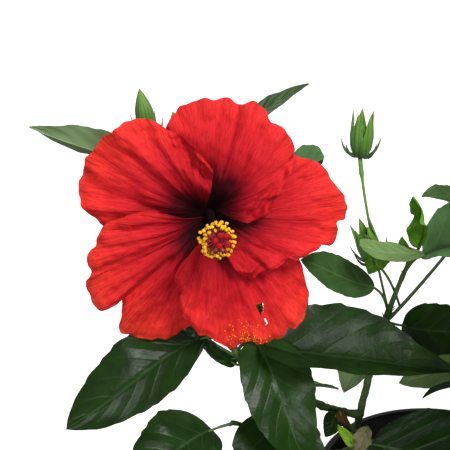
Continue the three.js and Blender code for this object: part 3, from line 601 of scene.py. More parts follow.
MASSES: dict[str, Mass] = {
    "foliage_bloom": Mass(
        "bough_bloom", (-112, 14, 258), (1.9, 1.2),
        leaves=(
            Leaf(0.03, (-134, -20, 215), (-204, -60, 184), (-0.25, -0.6, 0.75), 42, 5, shape=(0.8, 0.85)),
            Leaf(0.1, (-109, -28, 219), (-80, -62, 161), (0.15, -0.85, 0.5), 37, 7),
            Leaf(0.16, (-106, -31, 218), (-3, -52, 213), (0.05, -0.45, 0.9), 59, -8, 0.8, shape=(0.6, 1.15)),
            Leaf(0.6, (-128, 24, 240), (-172, 48, 244), (-0.1, 0.2, 1), 36, 5, kind=MATURE),
            Leaf(0.9, (-103, 26, 262), (-78, 36, 292), (0.6, 0.5, 0.6), 32, 4, kind=MATURE),
            Leaf(0.04, (-118, -23, 200), (-139, -19, 217), (0.1, -0.9, 0.4), 7, 1),
            Leaf(0.1, (-131, -20, 213), (-150, -15, 227), (0.1, -0.9, 0.4), 10, 1),
            Leaf(0.2, (-107, -12, 222), (-109, -12, 240), (0.2, -0.9, 0.3), 6, 0.5, kind=LIME),
        ),
    ),
    "foliage_low_left": Mass(
        "bough_low_left", (-120, -38, 174), (1.6, 1.1),
        leaves=(
            Leaf(0.95, (-130, -41, 171), (-174, -78, 161), (-0.2, -0.55, 0.8), 42, 6),
            Leaf(0.35, (-99, -33, 178), (-90, -74, 128), (0.1, -0.8, 0.6), 48, 6, shape=(0.45, 0.85)),
            Leaf(0.08, (-79, 26, 157), (-57, 30, 153), (0.05, 0.43, 0.9), 12, 1, kind=MATTE),
        ),
    ),
    "foliage_low_front": Mass(
        "stem_left", (-52, -6, 146), (1.5, 1.0), at=0.24, via=(-49, 4, 136),
        leaves=(
            Leaf(0.6, (-44, -14, 144), (18, -76, 142), (0.05, -0.55, 0.85), 60, 8, kind=RIDGED),
            Leaf(0.7, (-60, 3, 154), (-67, -4, 142), (-0.2, -0.9, 0.3), 10, 1),
            Leaf(0.9, (-52, -11, 141), (-61, -10, 154), (-0.4, -0.8, 0.3), 5.5, -1.5, kind=LIME),
            # A pale beige blade by the ridged leaf's left edge: a painted highlight for the sheen on that
            # leaf's curled margin.
            Leaf(1, (-44, -15, 155), (-52, -17, 138), (-0.5, -0.8, 0.3), 9, 2, kind=WITHERED, ruffle=0.3),
            Leaf(0.8, (-59, 0, 157), (-53, -3, 144), (-0.4, -0.9, 0), 5, 1, kind=BRACT, ruffle=0.1),
        ),
    ),
    "foliage_left_top": Mass(
        "stem_left", (-23, 9, 249), (1.8, 1.1),
        twigs=(SideTwig(0.03, (-18, 20, 220), (20, 42, 262), (1.2, 0.9)),),
        leaves=(
            Leaf(0.2, (-43, 5, 232), (-84, -9, 255), (0.3, -0.7, 0.65), 20, -3, 0.2, kind=MATURE,
                 shape=(0.7, 0.8)),
            Leaf(0.72, (-18, 5, 251), (28, -10, 268), (-0.3, -0.4, 0.86), 46, 2, fold=0.74, kind=MATTE),
            Leaf(0.95, (-18, 0, 254), (-54, -12, 265), (-0.1, -0.35, 0.9), 15, -2, 0.15, kind=PALE,
                 shape=(0.8, 0.4)),
            Leaf(0.96, (-38, 5, 256), (-47, 0, 242), (-0.4, -0.9, 0.2), 12, 1, kind=YOUNG, ruffle=0.18),
            Leaf(0.05, (-27, 2, 210), (18, -20, 214), (0.2, -0.8, 0.55), 29, 4),
            Leaf(0.97, (-20, 8, 254), (-26, 2, 286), (-0.7, -0.6, 0.2), 15, -5, 0.8, kind=YOUNG, ruffle=0.16),
            Leaf(0.93, (-25, 6, 251), (-30, 3, 263), (-0.6, -0.7, 0.2), 8, 1, kind=YOUNG),
            Leaf(0.16, (-41, 36, 178), (-52, 48, 139), (0.1, 0.93, 0.3), 25, 3, kind=PALE),
            Leaf(0.94, (17, 30, 266), (-19, 15, 281), (0.1, -0.15, 0.98), 24, 2, twig=1, kind=MATURE),
            Leaf(0.75, (24, 18, 246), (62, -8, 262), (0.1, -0.55, 0.83), 38, 5, twig=1, kind=MATURE),
            Leaf(0.98, (32, 54, 276), (52, 86, 290), (-0.1, -0.3, 1), 30, 4, twig=1, kind=MATURE),
        ),
        buds=(
            Bud(0.2, (-48, 26, 268), (-51, 30, 298), (-50, 30, 323), 6.2, is_open=True),
            Bud(0.22, (-32, 18, 232), (-43, 10, 245), (-52, 6, 269), 6.2, twig=1, is_open=True),
        ),
    ),
    "foliage_behind": Mass(
        "bough_behind", (-128, 50, 298), (1.7, 1.1),
        leaves=(
            Leaf(0.85, (-160, 52, 288), (-230, 46, 309), (0.15, 0.75, 0.65), 34, -5, kind=PALE),
            Leaf(0.97, (-112, 49, 306), (-78, 54, 331), (-0.5, -0.3, 0.8), 14, 2, kind=MATURE),
            Leaf(0.6, (-99, 60, 273), (-67, 66, 284), (0.2, 0.8, 0.55), 28, -3, kind=MATTE, shape=(0.8, 0.4)),
        ),
        buds=(
            Bud(0.8, (-158, 56, 288), (-165, 53, 300), (-170, 54, 328), 5.2),
            Bud(0.95, (-140, 52, 300), (-148, 50, 301), (-152, 51, 316), 3.4),
        ),
        rule=Rule(5, 40, 7, (70, 46), 2, 40, 3, Space.LEE),
    ),
    "foliage_low_centre": Mass(
        "stem_centre", (24, 14, 172), (1.5, 1.0), at=0.5, via=(28, 0, 152),
        leaves=(
            Leaf(0.7, (17, 20, 171), (-25, 13, 167), (0.1, -0.5, 0.87), 24, 3, kind=PALE),
            Leaf(0.5, (20, -4, 172), (-17, -20, 178), (0.1, 0.4, 0.92), 12, 5),
        ),
        rule=Rule(83, 250, 5, (62, 50)),
    ),
    "foliage_centre": Mass(
        "stem_centre", (38, -46, 306), (2.2, 1.2),
        buds=(Bud(0.75, (48, -66, 300), (48, -70, 316), (50, -76, 336), 5, is_open=True),),
        rule=Rule(11, 20, 12, (86, 44), 4, 62, 4),
    ),
    "foliage_right": Mass(
        "stem_right", (110, 34, 300), (2.2, 1.2),
        buds=(Bud(0.7, (132, 16, 296), (136, 10, 312), (142, 6, 330), 4.8),),
        rule=Rule(23, 75, 12, (86, 44), 4, 62, 4),
    ),
    "foliage_back": Mass(
        "stem_back", (48, 106, 316), (2.2, 1.2),
        buds=(Bud(0.75, (36, 126, 306), (33, 130, 320), (30, 136, 338), 4.8),),
        rule=Rule(31, 130, 12, (86, 44), 4, 62, 4),
    ),
    "foliage_front": Mass(
        "bough_front", (76, -98, 216), (1.7, 1.1), rule=Rule(47, 200, 9, (78, 46), 3, 46, 3)
    ),
    "foliage_right_low": Mass(
        "bough_right_low", (148, -40, 216), (1.7, 1.1), rule=Rule(59, 10, 9, (78, 46), 3, 46, 3)
    ),
    "foliage_back_low": Mass(
        "bough_back_low", (122, 120, 216), (1.7, 1.1), rule=Rule(71, 300, 9, (78, 46), 3, 46, 3)
    ),
}


@dataclass(frozen=True)
class BloomSeat:
    """Where the bloom's throat is and which way it looks, in millimetres."""

    throat: Point = (-131.5, -5.0, 281.0)
    looks: Point = (0.08, -0.975, 0.208)

    def directions(self) -> tuple[Array, Array, Array]:
        """Gives the bloom's directions: to its right, to its top and out of its throat."""
        out = unit(np.array(self.looks))
        right = unit(np.cross(UP, out))
        return right, np.cross(out, right), out

    def along(self, distance: float) -> Array:
        """Gives the point of the bloom's axis that lies this far out of its throat."""
        return np.array(self.throat) + self.directions()[2] * distance

    def ray(self, degrees: Any) -> Array:
        """Gives the direction square to the axis at an angle, from its right towards its top."""
        right, top, _ = self.directions()
        angle = np.radians(degrees)[..., None]
        return right * np.cos(angle) + top * np.sin(angle)


SEAT = BloomSeat()
MOST_TAKEN = 40000
RULED_TUBE = 4.5
RULED_RISES = (26, 31, 17)


RULED_PETALS = (
    (152, 71, 72, 0.15),
    (75, 60, 72, 0.1),
    (7, 70, 64, 0.28),
    (-63, 75, 74, 0.2),
    (226, 79, 78, 0.15),
)



@dataclass(frozen=True)
class Shoot:
    """A twig with its line, its radii and the leaves that it carries."""

    path: Path
    radii: Pair
    leaves: tuple[Leaf, ...] = ()
    is_main: bool = False


@dataclass
class Growth:
    """Works out where every limb, twig and leaf of the plant stands.

    This is the source's rule: leaves climb their twig by the golden angle, one that has no room
    tries again further round, and each leaf keeps its samples clear of what stands already. The
    same rule then adds finer twigs with smaller leaves, which need less room.
    """

    ground: float = 12.0
    pot_top: float = 122.0
    pot_reach: float = 77.0
    opening: Point = (17.5, 0.166, -0.074)
    lee_from: Point = (-131.0, -5.0, 276.0)
    lee_way: Point = (-0.01, 0.914, -0.405)
    lee_radius: float = 54.0
    twig_shape: Sequence[float] = (0.5, 0.12, 0.72, 0.69)
    fine_shape: Sequence[float] = (0.45, 0.15, 0.75, 0.62)
    clear: float = 0.3
    tries: int = 9
    try_turn: float = 31.0
    blade_room: float = 10.0
    twig_room: float = 6.0
    petal_room: float = 13.0
    fine_share: float = 0.52
    fine_long: float = 30.0
    fine_leaf: Pair = (46.0, 30.0)
    fine_leaves: int = 4
    fine_twigs: int = 7
    sprig_radii: Pair = (1.3, 0.8)
    fine_radii: Pair = (0.85, 0.5)
    paths: dict[str, Path] = field(default_factory=dict)
    shoots: dict[str, list[Shoot]] = field(default_factory=dict)
    places: Array = field(default_factory=lambda: np.zeros((MOST_TAKEN, 3)))
    rooms: Array = field(default_factory=lambda: np.zeros(MOST_TAKEN))
    taken: int = 0

    def take(self, points: Array, room: float) -> None:
        """Notes that these points are taken, with the room that each wants round it."""
        end = self.taken + len(points)
        self.places[self.taken : end], self.rooms[self.taken : end] = points, room
        self.taken = end

    def is_free(self, points: Array, share: float) -> bool:
        """Tells whether points keep a share of the room that all taken points want."""
        places, rooms = self.places[: self.taken], self.rooms[: self.taken] * share
        low, high = points.min(axis=0), points.max(axis=0)
        near = ((places > low - rooms[:, None]) & (places < high + rooms[:, None])).all(axis=1)
        away = points[:, None] - places[near][None]
        return bool((np.einsum("ijk,ijk->ij", away, away) > rooms[near] ** 2).all())

    def in_space(self, points: Array, keep: Space) -> bool:
        """Tells whether points keep off the ground, the pot and the side that stays open.

        Right of the opening is one side of a slanting plane, and the bloom's lee is a cylinder.

        Args:
            points: Places in millimetres.
            keep: The space that they keep to.

        Returns:
            Whether all of them do.
        """
        x, y, z = points.T
        if (z < self.ground).any() or ((z < self.pot_top) & (np.hypot(x, y) < self.pot_reach)).any():
            return False
        if keep is Space.RIGHT:
            side, by_y, by_z = self.opening
            return bool((x > side + by_y * y + by_z * z).all())
        along, away = unit(np.array(self.lee_way)), points - self.lee_from
        off = away - (away @ along)[:, None] * along
        return bool((np.linalg.norm(off, axis=1) < self.lee_radius).all())

    def turns(self, start: float) -> Iterator[float]:
        """Gives the ways round a shoot in which a leaf is tried, nearest first, in radians."""
        for k in range(self.tries):
            yield math.radians(start + math.ceil(k / 2) * (1 if k % 2 else -1) * self.try_turn)

    @staticmethod
    def outward(axis: Array, angle: float) -> Array:
        """Gives the direction square to an axis, turned about it by an angle."""
        side = unit(np.cross(axis, [0.0, 1.0, 0.0]))
        return side * math.cos(angle) + np.cross(axis, side) * math.sin(angle)

    def line(self, piece: Limb | Mass) -> Path:
        """Gives the line of a limb or main twig, whose start stands a little clear of its carrier.

        Args:
            piece: The limb or the mass whose main twig it is. One with no place on its carrier
                grows on from the carrier's tip.

        Returns:
            The line.
        """
        if isinstance(piece, Limb) and piece.foot:
            return Path.through(piece.foot, piece.via, piece.to)
        carrier = self.paths[piece.on]
        if piece.at is None:
            onward = carrier.heading(1.0)
            start = carrier.at(1.0) + onward * self.clear
            reach = 0.45 * np.linalg.norm(start - np.array(piece.to))
            return Path.through(start, start + onward * reach, piece.to)
        root, via = carrier.at(piece.at), np.array(piece.via, float)
        out = unit(via - root)
        lean = abs(float(out @ carrier.heading(piece.at)))
        clear = LIMBS[piece.on].radius(piece.at) + self.clear + piece.radii[0] * lean
        return Path.through(root + out * clear / math.sqrt(1 - lean**2), via, piece.to)

    def petal_samples(self) -> Array:
        """Gives the points that stand for the petals when leaves are kept clear of them.

        Along each petal its distance from the axis and its height follow a cubic Bezier curve, and
        its width opens as a sine and narrows again as a square near the margin.

        Returns:
            The points in millimetres.
        """
        s, t = np.meshgrid([0.1, 0.3, 0.5, 0.7, 0.9, 1], [-1, -0.5, 0, 0.5, 1], indexing="ij")
        s, t = s.ravel(), t.ravel()
        found = []
        for angle, reach, broad, rounding in RULED_PETALS:
            far = s * (1 - rounding * t * t * s)
            near = 1 - far
            bend = [3 * near * near * far, 3 * near * far * far, far**3]
            height = sum(part * rise for part, rise in zip(bend, RULED_RISES, strict=True))
            out = near**3 * 2 + reach * (bend[0] * 0.12 + bend[1] * 0.56 + bend[2])
            opened = np.sin(np.minimum(1, s / 0.75) * np.pi / 2) ** 1.25
            narrowed = 1 - 0.2 * np.maximum(0, (s - 0.75) / 0.25) ** 2
            half = mix((RULED_TUBE, broad / 2), opened) * narrowed
            height = height - 6 * t * np.sin(np.minimum(1, s * 1.2) * np.pi / 2)
            rays = SEAT.ray(float(angle)), SEAT.ray(float(angle) + 90)
            found.append(np.array(SEAT.throat) + height[:, None] * SEAT.directions()[2])
            found[-1] = found[-1] + out[:, None] * rays[0] + (half * t)[:, None] * rays[1]
        return np.concatenate(found)

    def rising(self, root: Array, turn: float, long: float, shape: Sequence[float]) -> Path:
        """Gives the line of a twig that bends outward and then up.

        Args:
            root: Where it leaves its carrier.
            turn: The way round, in radians.
            long: Its size in millimetres.
            shape: How far out and up its bend lies, and then its tip, as shares of its size.

        Returns:
            The line.
        """
        out = self.outward(UP, turn)
        bend, tip = (root + out * long * shape[i] + UP * long * shape[i + 1] for i in (0, 2))
        return Path.through(root, bend, tip)

    def side_twigs(self, path: Path, rule: Rule, row: Iterator[float]) -> list[Path]:
        """Gives the side twigs that the rule grows on a main twig.

        Args:
            path: The main twig's line.
            rule: The mass's rule.
            row: The mass's seeded row.

        Returns:
            The lines of those that found room.
        """
        found = []
        for i in range(rule.sprigs):
            root = path.at(mix((0.18, 0.78), (i + 0.5) / rule.sprigs))
            long = rule.sprig_long * (0.85 + 0.3 * next(row))
            for turn in self.turns(rule.phase + 70 + i * GOLDEN_ANGLE):
                twig = self.rising(root, turn, long, self.twig_shape)
                points = twig.at(np.array([0.4, 0.6, 0.8, 1]))
                if self.in_space(points, rule.keep) and self.is_free(points, 1):
                    found.append(twig)
                    break
        return found

    def ruled_leaf(
        self, root: Array, axis: Array, at: float, long: float, turn: float, draws: list[float]
    ) -> Leaf:
        """Gives the leaf that the rule hangs on a twig.

        Its stalk climbs along the twig, and its blade runs outward with a droop that is less
        towards the twig's tip.

        Args:
            root: Where its stalk leaves the twig.
            axis: The twig's heading there.
            at: The share of the twig.
            long: The blade's length.
            turn: The way round the twig.
            draws: The leaf's four numbers from the seeded row.

        Returns:
            The leaf.
        """
        out = self.outward(axis, turn)
        stalk = unit(out + axis * (0.75 + 0.5 * draws[1] + 0.5 * at))
        base = root + stalk * long * mix((0.34, 0.22), at)
        droop = -0.45 + 0.75 * at + 0.35 * (draws[2] - 0.5)
        flat = unit(np.array([out[0], out[1], 0.0]))
        along = unit(np.array([flat[0], flat[1], droop]))
        face = np.array([-along[2] * along[0], -along[2] * along[1], 1.0])
        face = face + np.array([-along[1], along[0], 0.0]) * 0.7 * (draws[3] - 0.5)
        kind = MATURE if draws[0] + at > 1.1 else OLD
        return Leaf(
            at, base, base + along * long, face, long * (0.5 + 0.08 * draws[3]), long * 0.09,
            kind=kind, ruled=True, hook=0.1 * draws[1], ruffle=0.025 + 0.03 * draws[2],
        )

    def ruled_leaves(
        self, path: Path, count: int, phase: float, rule: Rule, row: Iterator[float], share: float = 1.0
    ) -> tuple[Leaf, ...]:
        """Gives the leaves that the rule grows on a twig.

        Args:
            path: The twig's line.
            count: How many leaves it tries.
            phase: The first leaf's way round, in degrees.
            rule: The mass's rule.
            row: The mass's seeded row.
            share: The share of the taken points' room that the leaves keep.

        Returns:
            The leaves that found room.
        """
        found = []
        for i in range(count):
            at = (i + 0.6) / count
            root, axis = path.at(at), path.heading(at)
            draws = [next(row) for _ in range(4)]
            long = mix(rule.long, at) * (0.9 + 0.2 * draws[0])
            for turn in self.turns(phase + i * GOLDEN_ANGLE):
                leaf = self.ruled_leaf(root, axis, at, long, turn, draws)
                stalk = root + (np.asarray(leaf.base) - root) * np.array([[0.5], [0.75]])
                samples = leaf.samples()
                if not self.is_free(stalk, 0.5 * share) or not self.in_space(samples, rule.keep):
                    continue
                if self.is_free(samples, share):
                    self.take(samples, self.blade_room)
                    found.append(leaf)
                    break
        return tuple(found)

    def fine_shoots(self, name: str, rule: Rule) -> list[Shoot]:
        """Gives a mass's finer twigs, by the same rule, within the box of the mass's solid.

        Args:
            name: The mass.
            rule: Its rule.

        Returns:
            The twigs with their smaller leaves.
        """
        low, high = (np.array(corner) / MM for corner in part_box(name))
        row = seeded_row(rule.seed + 1000)
        carriers = [shoot for shoot in self.shoots[name] if shoot.is_main or shoot.leaves]
        finer = Rule(rule.seed, rule.phase, 0, self.fine_leaf, 1, self.fine_long, 0, rule.keep)
        found = []
        for i in range(self.fine_twigs * len(carriers)):
            carrier = carriers[i % len(carriers)]
            root = carrier.path.at(0.3 + 0.65 * next(row))
            long = self.fine_long * (0.8 + 0.5 * next(row))
            for turn in self.turns(rule.phase + i * GOLDEN_ANGLE):
                twig = self.rising(root, turn, long, self.fine_shape)
                points = twig.at(np.array([0.5, 0.75, 1.0]))
                if not self.in_space(points, rule.keep) or not self.is_free(points, self.fine_share):
                    continue
                before, phase = self.taken, rule.phase + 40 * i
                leaves = self.ruled_leaves(twig, self.fine_leaves, phase, finer, row, self.fine_share)
                reach = np.array([leaf.samples() for leaf in leaves])
                if not leaves or (reach < low - 2).any() or (reach > high + 2).any():
                    self.taken = before
                    continue
                self.take(twig.points(7), self.twig_room)
                found.append(Shoot(twig, self.fine_radii, leaves))
                break
        return found

    def grow(self) -> None:
        """Places all: limbs, petals and placed leaves first, then the ruled ones, then the finer."""
        for name, limb in LIMBS.items():
            self.paths[name] = self.line(limb)
            self.take(self.paths[name].points(15), self.twig_room)
        self.take(self.petal_samples(), self.petal_room)
        for name, mass in MASSES.items():
            self.place(name, mass)
        rules = {name: mass.rule for name, mass in MASSES.items() if mass.rule}
        for name, rule in rules.items():
            self.follow(name, rule)
        for name, rule in rules.items():
            self.shoots[name] += self.fine_shoots(name, rule)
        shoots = [shoot for found in self.shoots.values() for shoot in found]
        log.info("grown: %d leaves on %d twigs", sum(len(shoot.leaves) for shoot in shoots), len(shoots))

    def place(self, name: str, mass: Mass) -> None:
        """Places a mass's main twig, its own side twigs, leaves and buds.

        Args:
            name: The mass.
            mass: What it holds.
        """
        main = self.line(mass)
        lines = [(main, mass.radii)]
        lines += [(Path.through(main.at(twig.at), twig.via, twig.to), twig.radii) for twig in mass.twigs]
        self.shoots[name] = [
            Shoot(path, radii, tuple(leaf for leaf in mass.leaves if leaf.twig == i), is_main=i == 0)
            for i, (path, radii) in enumerate(lines)
        ]
        for path, _ in lines:
            self.take(path.points(11), self.twig_room)
        for leaf in mass.leaves:
            self.take(leaf.samples(), self.blade_room)
        for bud in mass.buds:
            stalk = Path.through(lines[bud.twig][0].at(bud.at), bud.via, bud.base)
            self.take(stalk.points(7), self.twig_room)
            self.take(Path.through(bud.base, bud.tip).points(4), self.blade_room)

    def follow(self, name: str, rule: Rule) -> None:
        """Adds a mass's ruled side twigs, and ruled leaves on them and on its main twig.

        Args:
            name: The mass.
            rule: Its rule.
        """

        row = seeded_row(rule.seed)
        main = self.shoots[name][0]
        sprigs = self.side_twigs(main.path, rule, row)
        for path in sprigs:
            self.take(path.points(7), self.twig_room)
        leaves = self.ruled_leaves(main.path, rule.leaves, rule.phase, rule, row)
        self.shoots[name][0] = Shoot(main.path, main.radii, main.leaves + leaves, is_main=True)
        for i, path in enumerate(sprigs, start=1):
            leaves = self.ruled_leaves(path, rule.sprig_leaves, rule.phase + 50 * i, rule, row)
            self.shoots[name].append(Shoot(path, self.sprig_radii, leaves))


@dataclass(frozen=True)
class LeafFinish:
    """The two faces of a living leaf: a waxed blade with a paler, duller underside.

    The wax gives the upper face its soft white sheen over dark green. The veins part the blade
    into pillows, about six to a side, which break that sheen up.
    """

    name: str
    upper: str
    deep: str
    vein: str
    under: str
    roughness: float = 0.34
    vein_strength: float = 0.2
    relief: float = 0.5
    veins: float = 5.6
    slant: float = 1.7
    mottle_mm: float = 9.0
    grain_mm: float = 1.6

    def build(self) -> list[Material]:
        """Makes the materials of the upper face and of the underside."""
        return [self.face(False), self.face(True)]

    def face(self, is_under: bool) -> Material:
        """Makes the material of one face.

        Args:
            is_under: Whether it is the underside, where veins stand proud and nothing is waxed.

        Returns:
            The material.
        """
        material, add = new_material(f"{self.name}_{'underside' if is_under else 'upper_face'}")
        place = add("UVMap", uv_map="UVMap")
        parts = add("SeparateXYZ", (place,))
        side = add("Math", (parts.outputs["Y"],), operation="ABSOLUTE")
        midrib = add("MapRange", (side, 0.012, 0.06, 1.0, 0.0), interpolation_type="SMOOTHSTEP")
        climbed = add("Math", (parts.outputs["X"], self.veins, 0.3), operation="MULTIPLY_ADD")
        phase = add("Math", (side, -self.slant, climbed), operation="MULTIPLY_ADD")
        pillow = add("Math", (phase, 0.5), operation="PINGPONG")
        line = add("MapRange", (pillow, 0.0, 0.075, 1.0, 0.0), interpolation_type="SMOOTHSTEP")
        fading = add("MapRange", (side, 0.2, 0.85, 0.75, 0.0))
        lateral = add("Math", (line, fading), operation="MULTIPLY")
        net = add("Math", (lateral, midrib), operation="MAXIMUM")
        spot = add("TexCoord").outputs["Object"]
        mottle = add("TexNoise", {"Vector": spot, "Scale": 1 / (self.mottle_mm * MM), "Detail": 3.0})
        mottled = add("MapRange", (mottle, 0.3, 0.7, 0.0, 0.6))
        tone = add("Attribute", attribute_name="tone").outputs["Fac"]
        shade = add("Math", (tone, 0.5, mottled), operation="MULTIPLY_ADD", use_clamp=True)
        light, dark = (self.under, self.under) if is_under else (self.upper, self.deep)
        blade = add("Mix", {0: shade, 6: linear(light), 7: linear(dark)}, data_type="RGBA")
        strength = add("Math", (net, self.vein_strength), operation="MULTIPLY")
        veined = add("Mix", {0: strength, 6: blade, 7: linear(self.vein)}, data_type="RGBA")
        grain = add("TexNoise", {"Vector": spot, "Scale": 1 / (self.grain_mm * MM), "Detail": 2.0})
        domed = add("Math", (grain, 0.12, pillow), operation="MULTIPLY_ADD")
        uneven = add("Math", (mottle, 0.9, domed), operation="MULTIPLY_ADD")
        height = add("Math", (net, 0.25 if is_under else -0.2, uneven), operation="MULTIPLY_ADD")
        relief = add("Bump", {"Height": height, "Strength": self.relief, "Distance": 1.0 * MM})
        low = 0.6 if is_under else self.roughness
        gloss = add("MapRange", {"Value": mottle, "To Min": low - 0.07, "To Max": low + 0.1})
        finish_material(
            add,
            {
                "Base Color": veined,
                "Roughness": gloss,
                "Normal": relief,
                "IOR": 1.45,
                "Specular IOR Level": 0.1 if is_under else 0.12,
            },
        )
        return material


LEAF_FINISHES: dict[LeafKind, LeafFinish] = {
    OLD: LeafFinish("old_waxed_leaf", "#1e3810", "#101f08", "#4a6a40", "#30492a", 0.3),
    RIDGED: LeafFinish("ridged_waxed_leaf", "#24421a", "#11220a", "#6c8658", "#30492a", 0.26, 0.45, 1.0),
    MATURE: LeafFinish("mature_waxed_leaf", "#38522a", "#28401e", "#6c8c54", "#5a8448", 0.32),
    MATTE: LeafFinish("matte_leaf", "#5c8050", "#4a6c3e", "#86a472", "#66905c", 0.5, 0.3),
    PALE: LeafFinish("pale_leaf", "#67824a", "#536c3f", "#92aa78", "#7c9868", 0.5, 0.35),
    YOUNG: LeafFinish("young_leaf", "#54821e", "#3c6614", "#8cb04c", "#649632", 0.34),
    LIME: LeafFinish("lime_leaf", "#93c22c", "#6fa31f", "#4c7a20", "#a2cc46", 0.36, 0.5),
    # Pale beige and matt: the blade of painted highlight.
    WITHERED: LeafFinish("painted_highlight_leaf", "#8a8460", "#54553a", "#a8a07c", "#98906c", 0.75, 0.3),
    BRACT: LeafFinish("dried_bract", "#55391f", "#3b2614", "#7a5a35", "#6a4a2b", 0.8, 0.3),
}


@dataclass(frozen=True)
class BarkFinish:
    """Smooth young hibiscus bark, grown and unpeeled.

    It is dull green on this year's wood and greyish brown, with fine lengthwise cracks and pale
    breathing pores, on the oldest. The tone says the age: 0 is old wood and 1 a leaf stalk.
    """

    wood: str = "#6d5c45"
    crack: str = "#3a2e22"
    green: str = "#3f5a29"
    stalk: str = "#46602c"
    pore: str = "#98906f"
    crack_mm: float = 1.3
    pore_mm: float = 2.6

    def build(self) -> Material:
        """Makes the material."""
        material, add = new_material("young_shrub_bark")
        spot = add("TexCoord").outputs["Object"]
        drawn = add("Mapping", {"Vector": spot, "Scale": (1.0, 1.0, 0.16)})
        crack = add("TexNoise", {"Vector": drawn, "Scale": 1 / (self.crack_mm * MM), "Detail": 4.0})
        pore = add("TexVoronoi", {"Vector": spot, "Scale": 1 / (self.pore_mm * MM)})
        pored = add("MapRange", (pore, 0.1, 0.2, 0.5, 0.0))
        tone = add("Attribute", attribute_name="tone").outputs["Fac"]
        age = add("Math", (crack, 0.18, tone), operation="MULTIPLY_ADD")
        aged = add(
            "ValToRGB", (age,),
            stops=((0.1, self.wood), (0.45, self.green), (0.75, self.green), (1.0, self.stalk)),
        )
        cracked = add("MapRange", (crack, 0.3, 0.48, 0.5, 0.0))
        lined = add("Mix", {0: cracked, 6: aged, 7: linear(self.crack)}, data_type="RGBA")
        dotted = add("Mix", {0: pored, 6: lined, 7: linear(self.pore)}, data_type="RGBA")
        height = add("Math", (pored, 0.6, crack), operation="MULTIPLY_ADD")
        relief = add("Bump", {"Height": height, "Strength": 0.5, "Distance": 0.4 * MM})
        finish_material(add, {"Base Color": dotted, "Roughness": 0.55, "Normal": relief})
        return material


@dataclass(frozen=True)
class CalyxFinish:
    """The green skin of buds, calyxes and their bracts, finely downy and ribbed lengthwise.

    It gives a soft, brighter green than the leaves, with darker lines between the lobes.
    """

    green: str = "#487a1e"
    rib: str = "#274e12"
    tip: str = "#68922c"
    ribs: float = 15.0
    down_mm: float = 0.7

    def build(self) -> Material:
        """Makes the material."""
        material, add = new_material("downy_calyx")
        place = add("UVMap", uv_map="UVMap")
        parts = add("SeparateXYZ", (place,))
        round_ = add("Math", (parts.outputs["Y"], self.ribs), operation="MULTIPLY")
        rib = add("Math", (round_, 0.5), operation="PINGPONG")
        ribbed = add("MapRange", (rib, 0.0, 0.25, 0.65, 0.0), interpolation_type="SMOOTHSTEP")
        length = add(
            "ValToRGB", (parts.outputs["X"],), stops=((0.0, self.rib), (0.35, self.green), (1.0, self.tip))
        )
        skin = add("Mix", {0: ribbed, 6: length, 7: linear(self.rib)}, data_type="RGBA")
        spot = add("TexCoord").outputs["Object"]
        down = add("TexNoise", {"Vector": spot, "Scale": 1 / (self.down_mm * MM)})
        height = add("Math", (rib, 1.2, down), operation="MULTIPLY_ADD")
        relief = add("Bump", {"Height": height, "Strength": 0.4, "Distance": 0.5 * MM})
        finish_material(add, {"Base Color": skin, "Roughness": 0.52, "Sheen Weight": 0.15, "Normal": relief})
        return material


@dataclass
class Limbs:
    """The stems and boughs, each a tapered limb with swollen nodes and slightly uneven bark."""

    growth: Growth
    bark: Material
    sides: int = 20
    step_mm: float = 1.6
    sink: float = 2.2
    node_every: float = 23.0
    node_proud: float = 0.35
    node_long: float = 2.0
    collars: tuple[Pair, Pair] = ((0.6, 3.0), (0.15, 2.5))
    uneven: float = 0.13
    green_over: float = 60.0

    def build(self) -> None:
        """Builds every limb in place of its solid."""
        for number, (name, limb) in enumerate(LIMBS.items()):
            piece = self.limb(number, limb, self.growth.paths[name])
            piece.name = f"{name}_bark"
            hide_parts(name)

    def limb(self, number: int, limb: Limb, path: Path) -> bpy.types.Object:
        """Builds one limb.

        Its radius is the source's, plus a bell of swelling at each node, a collar where it leaves
        its carrier and a smooth unevenness. Its first ring is sunk into what carries it.

        Args:
            number: Seeds its unevenness.
            limb: Its sizes.
            path: Its line.

        Returns:
            The piece.
        """
        length = path.length(40)
        shares = np.linspace(0, 1, round(length / self.step_mm) + 1)
        nodes = np.arange(0.6, length / self.node_every) * self.node_every / length
        bells = np.exp(-((((shares[:, None] - nodes) * length) / self.node_long) ** 2)).sum(axis=1)
        (proud, reach), (tip_proud, tip_reach) = self.collars
        collar = proud * np.exp(-shares * length / reach)
        collar = collar + tip_proud * np.exp(-(1 - shares) * length / tip_reach)
        radii = limb.radius(shares) + self.node_proud * bells + collar
        rings = closed_rings(path, radii, self.sides)
        middle = path.at(shares)[:, None]
        waves = swell(rings, 7.0, number) + 0.6 * swell(rings * [1, 1, 0.3], 2.6, number + 50)
        rings = middle + (rings - middle) * (1 + self.uneven * waves[..., None] / radii[:, None, None] * 2)
        rings[0] -= path.heading(0.0) * self.sink
        tone = np.clip(0.02 + (rings[..., 2] - FOOT) / self.green_over, 0, 0.6)
        skin = Skin()
        skin.add(rings, tone=tone)
        return skin.piece("limb", [self.bark], sharp=80)


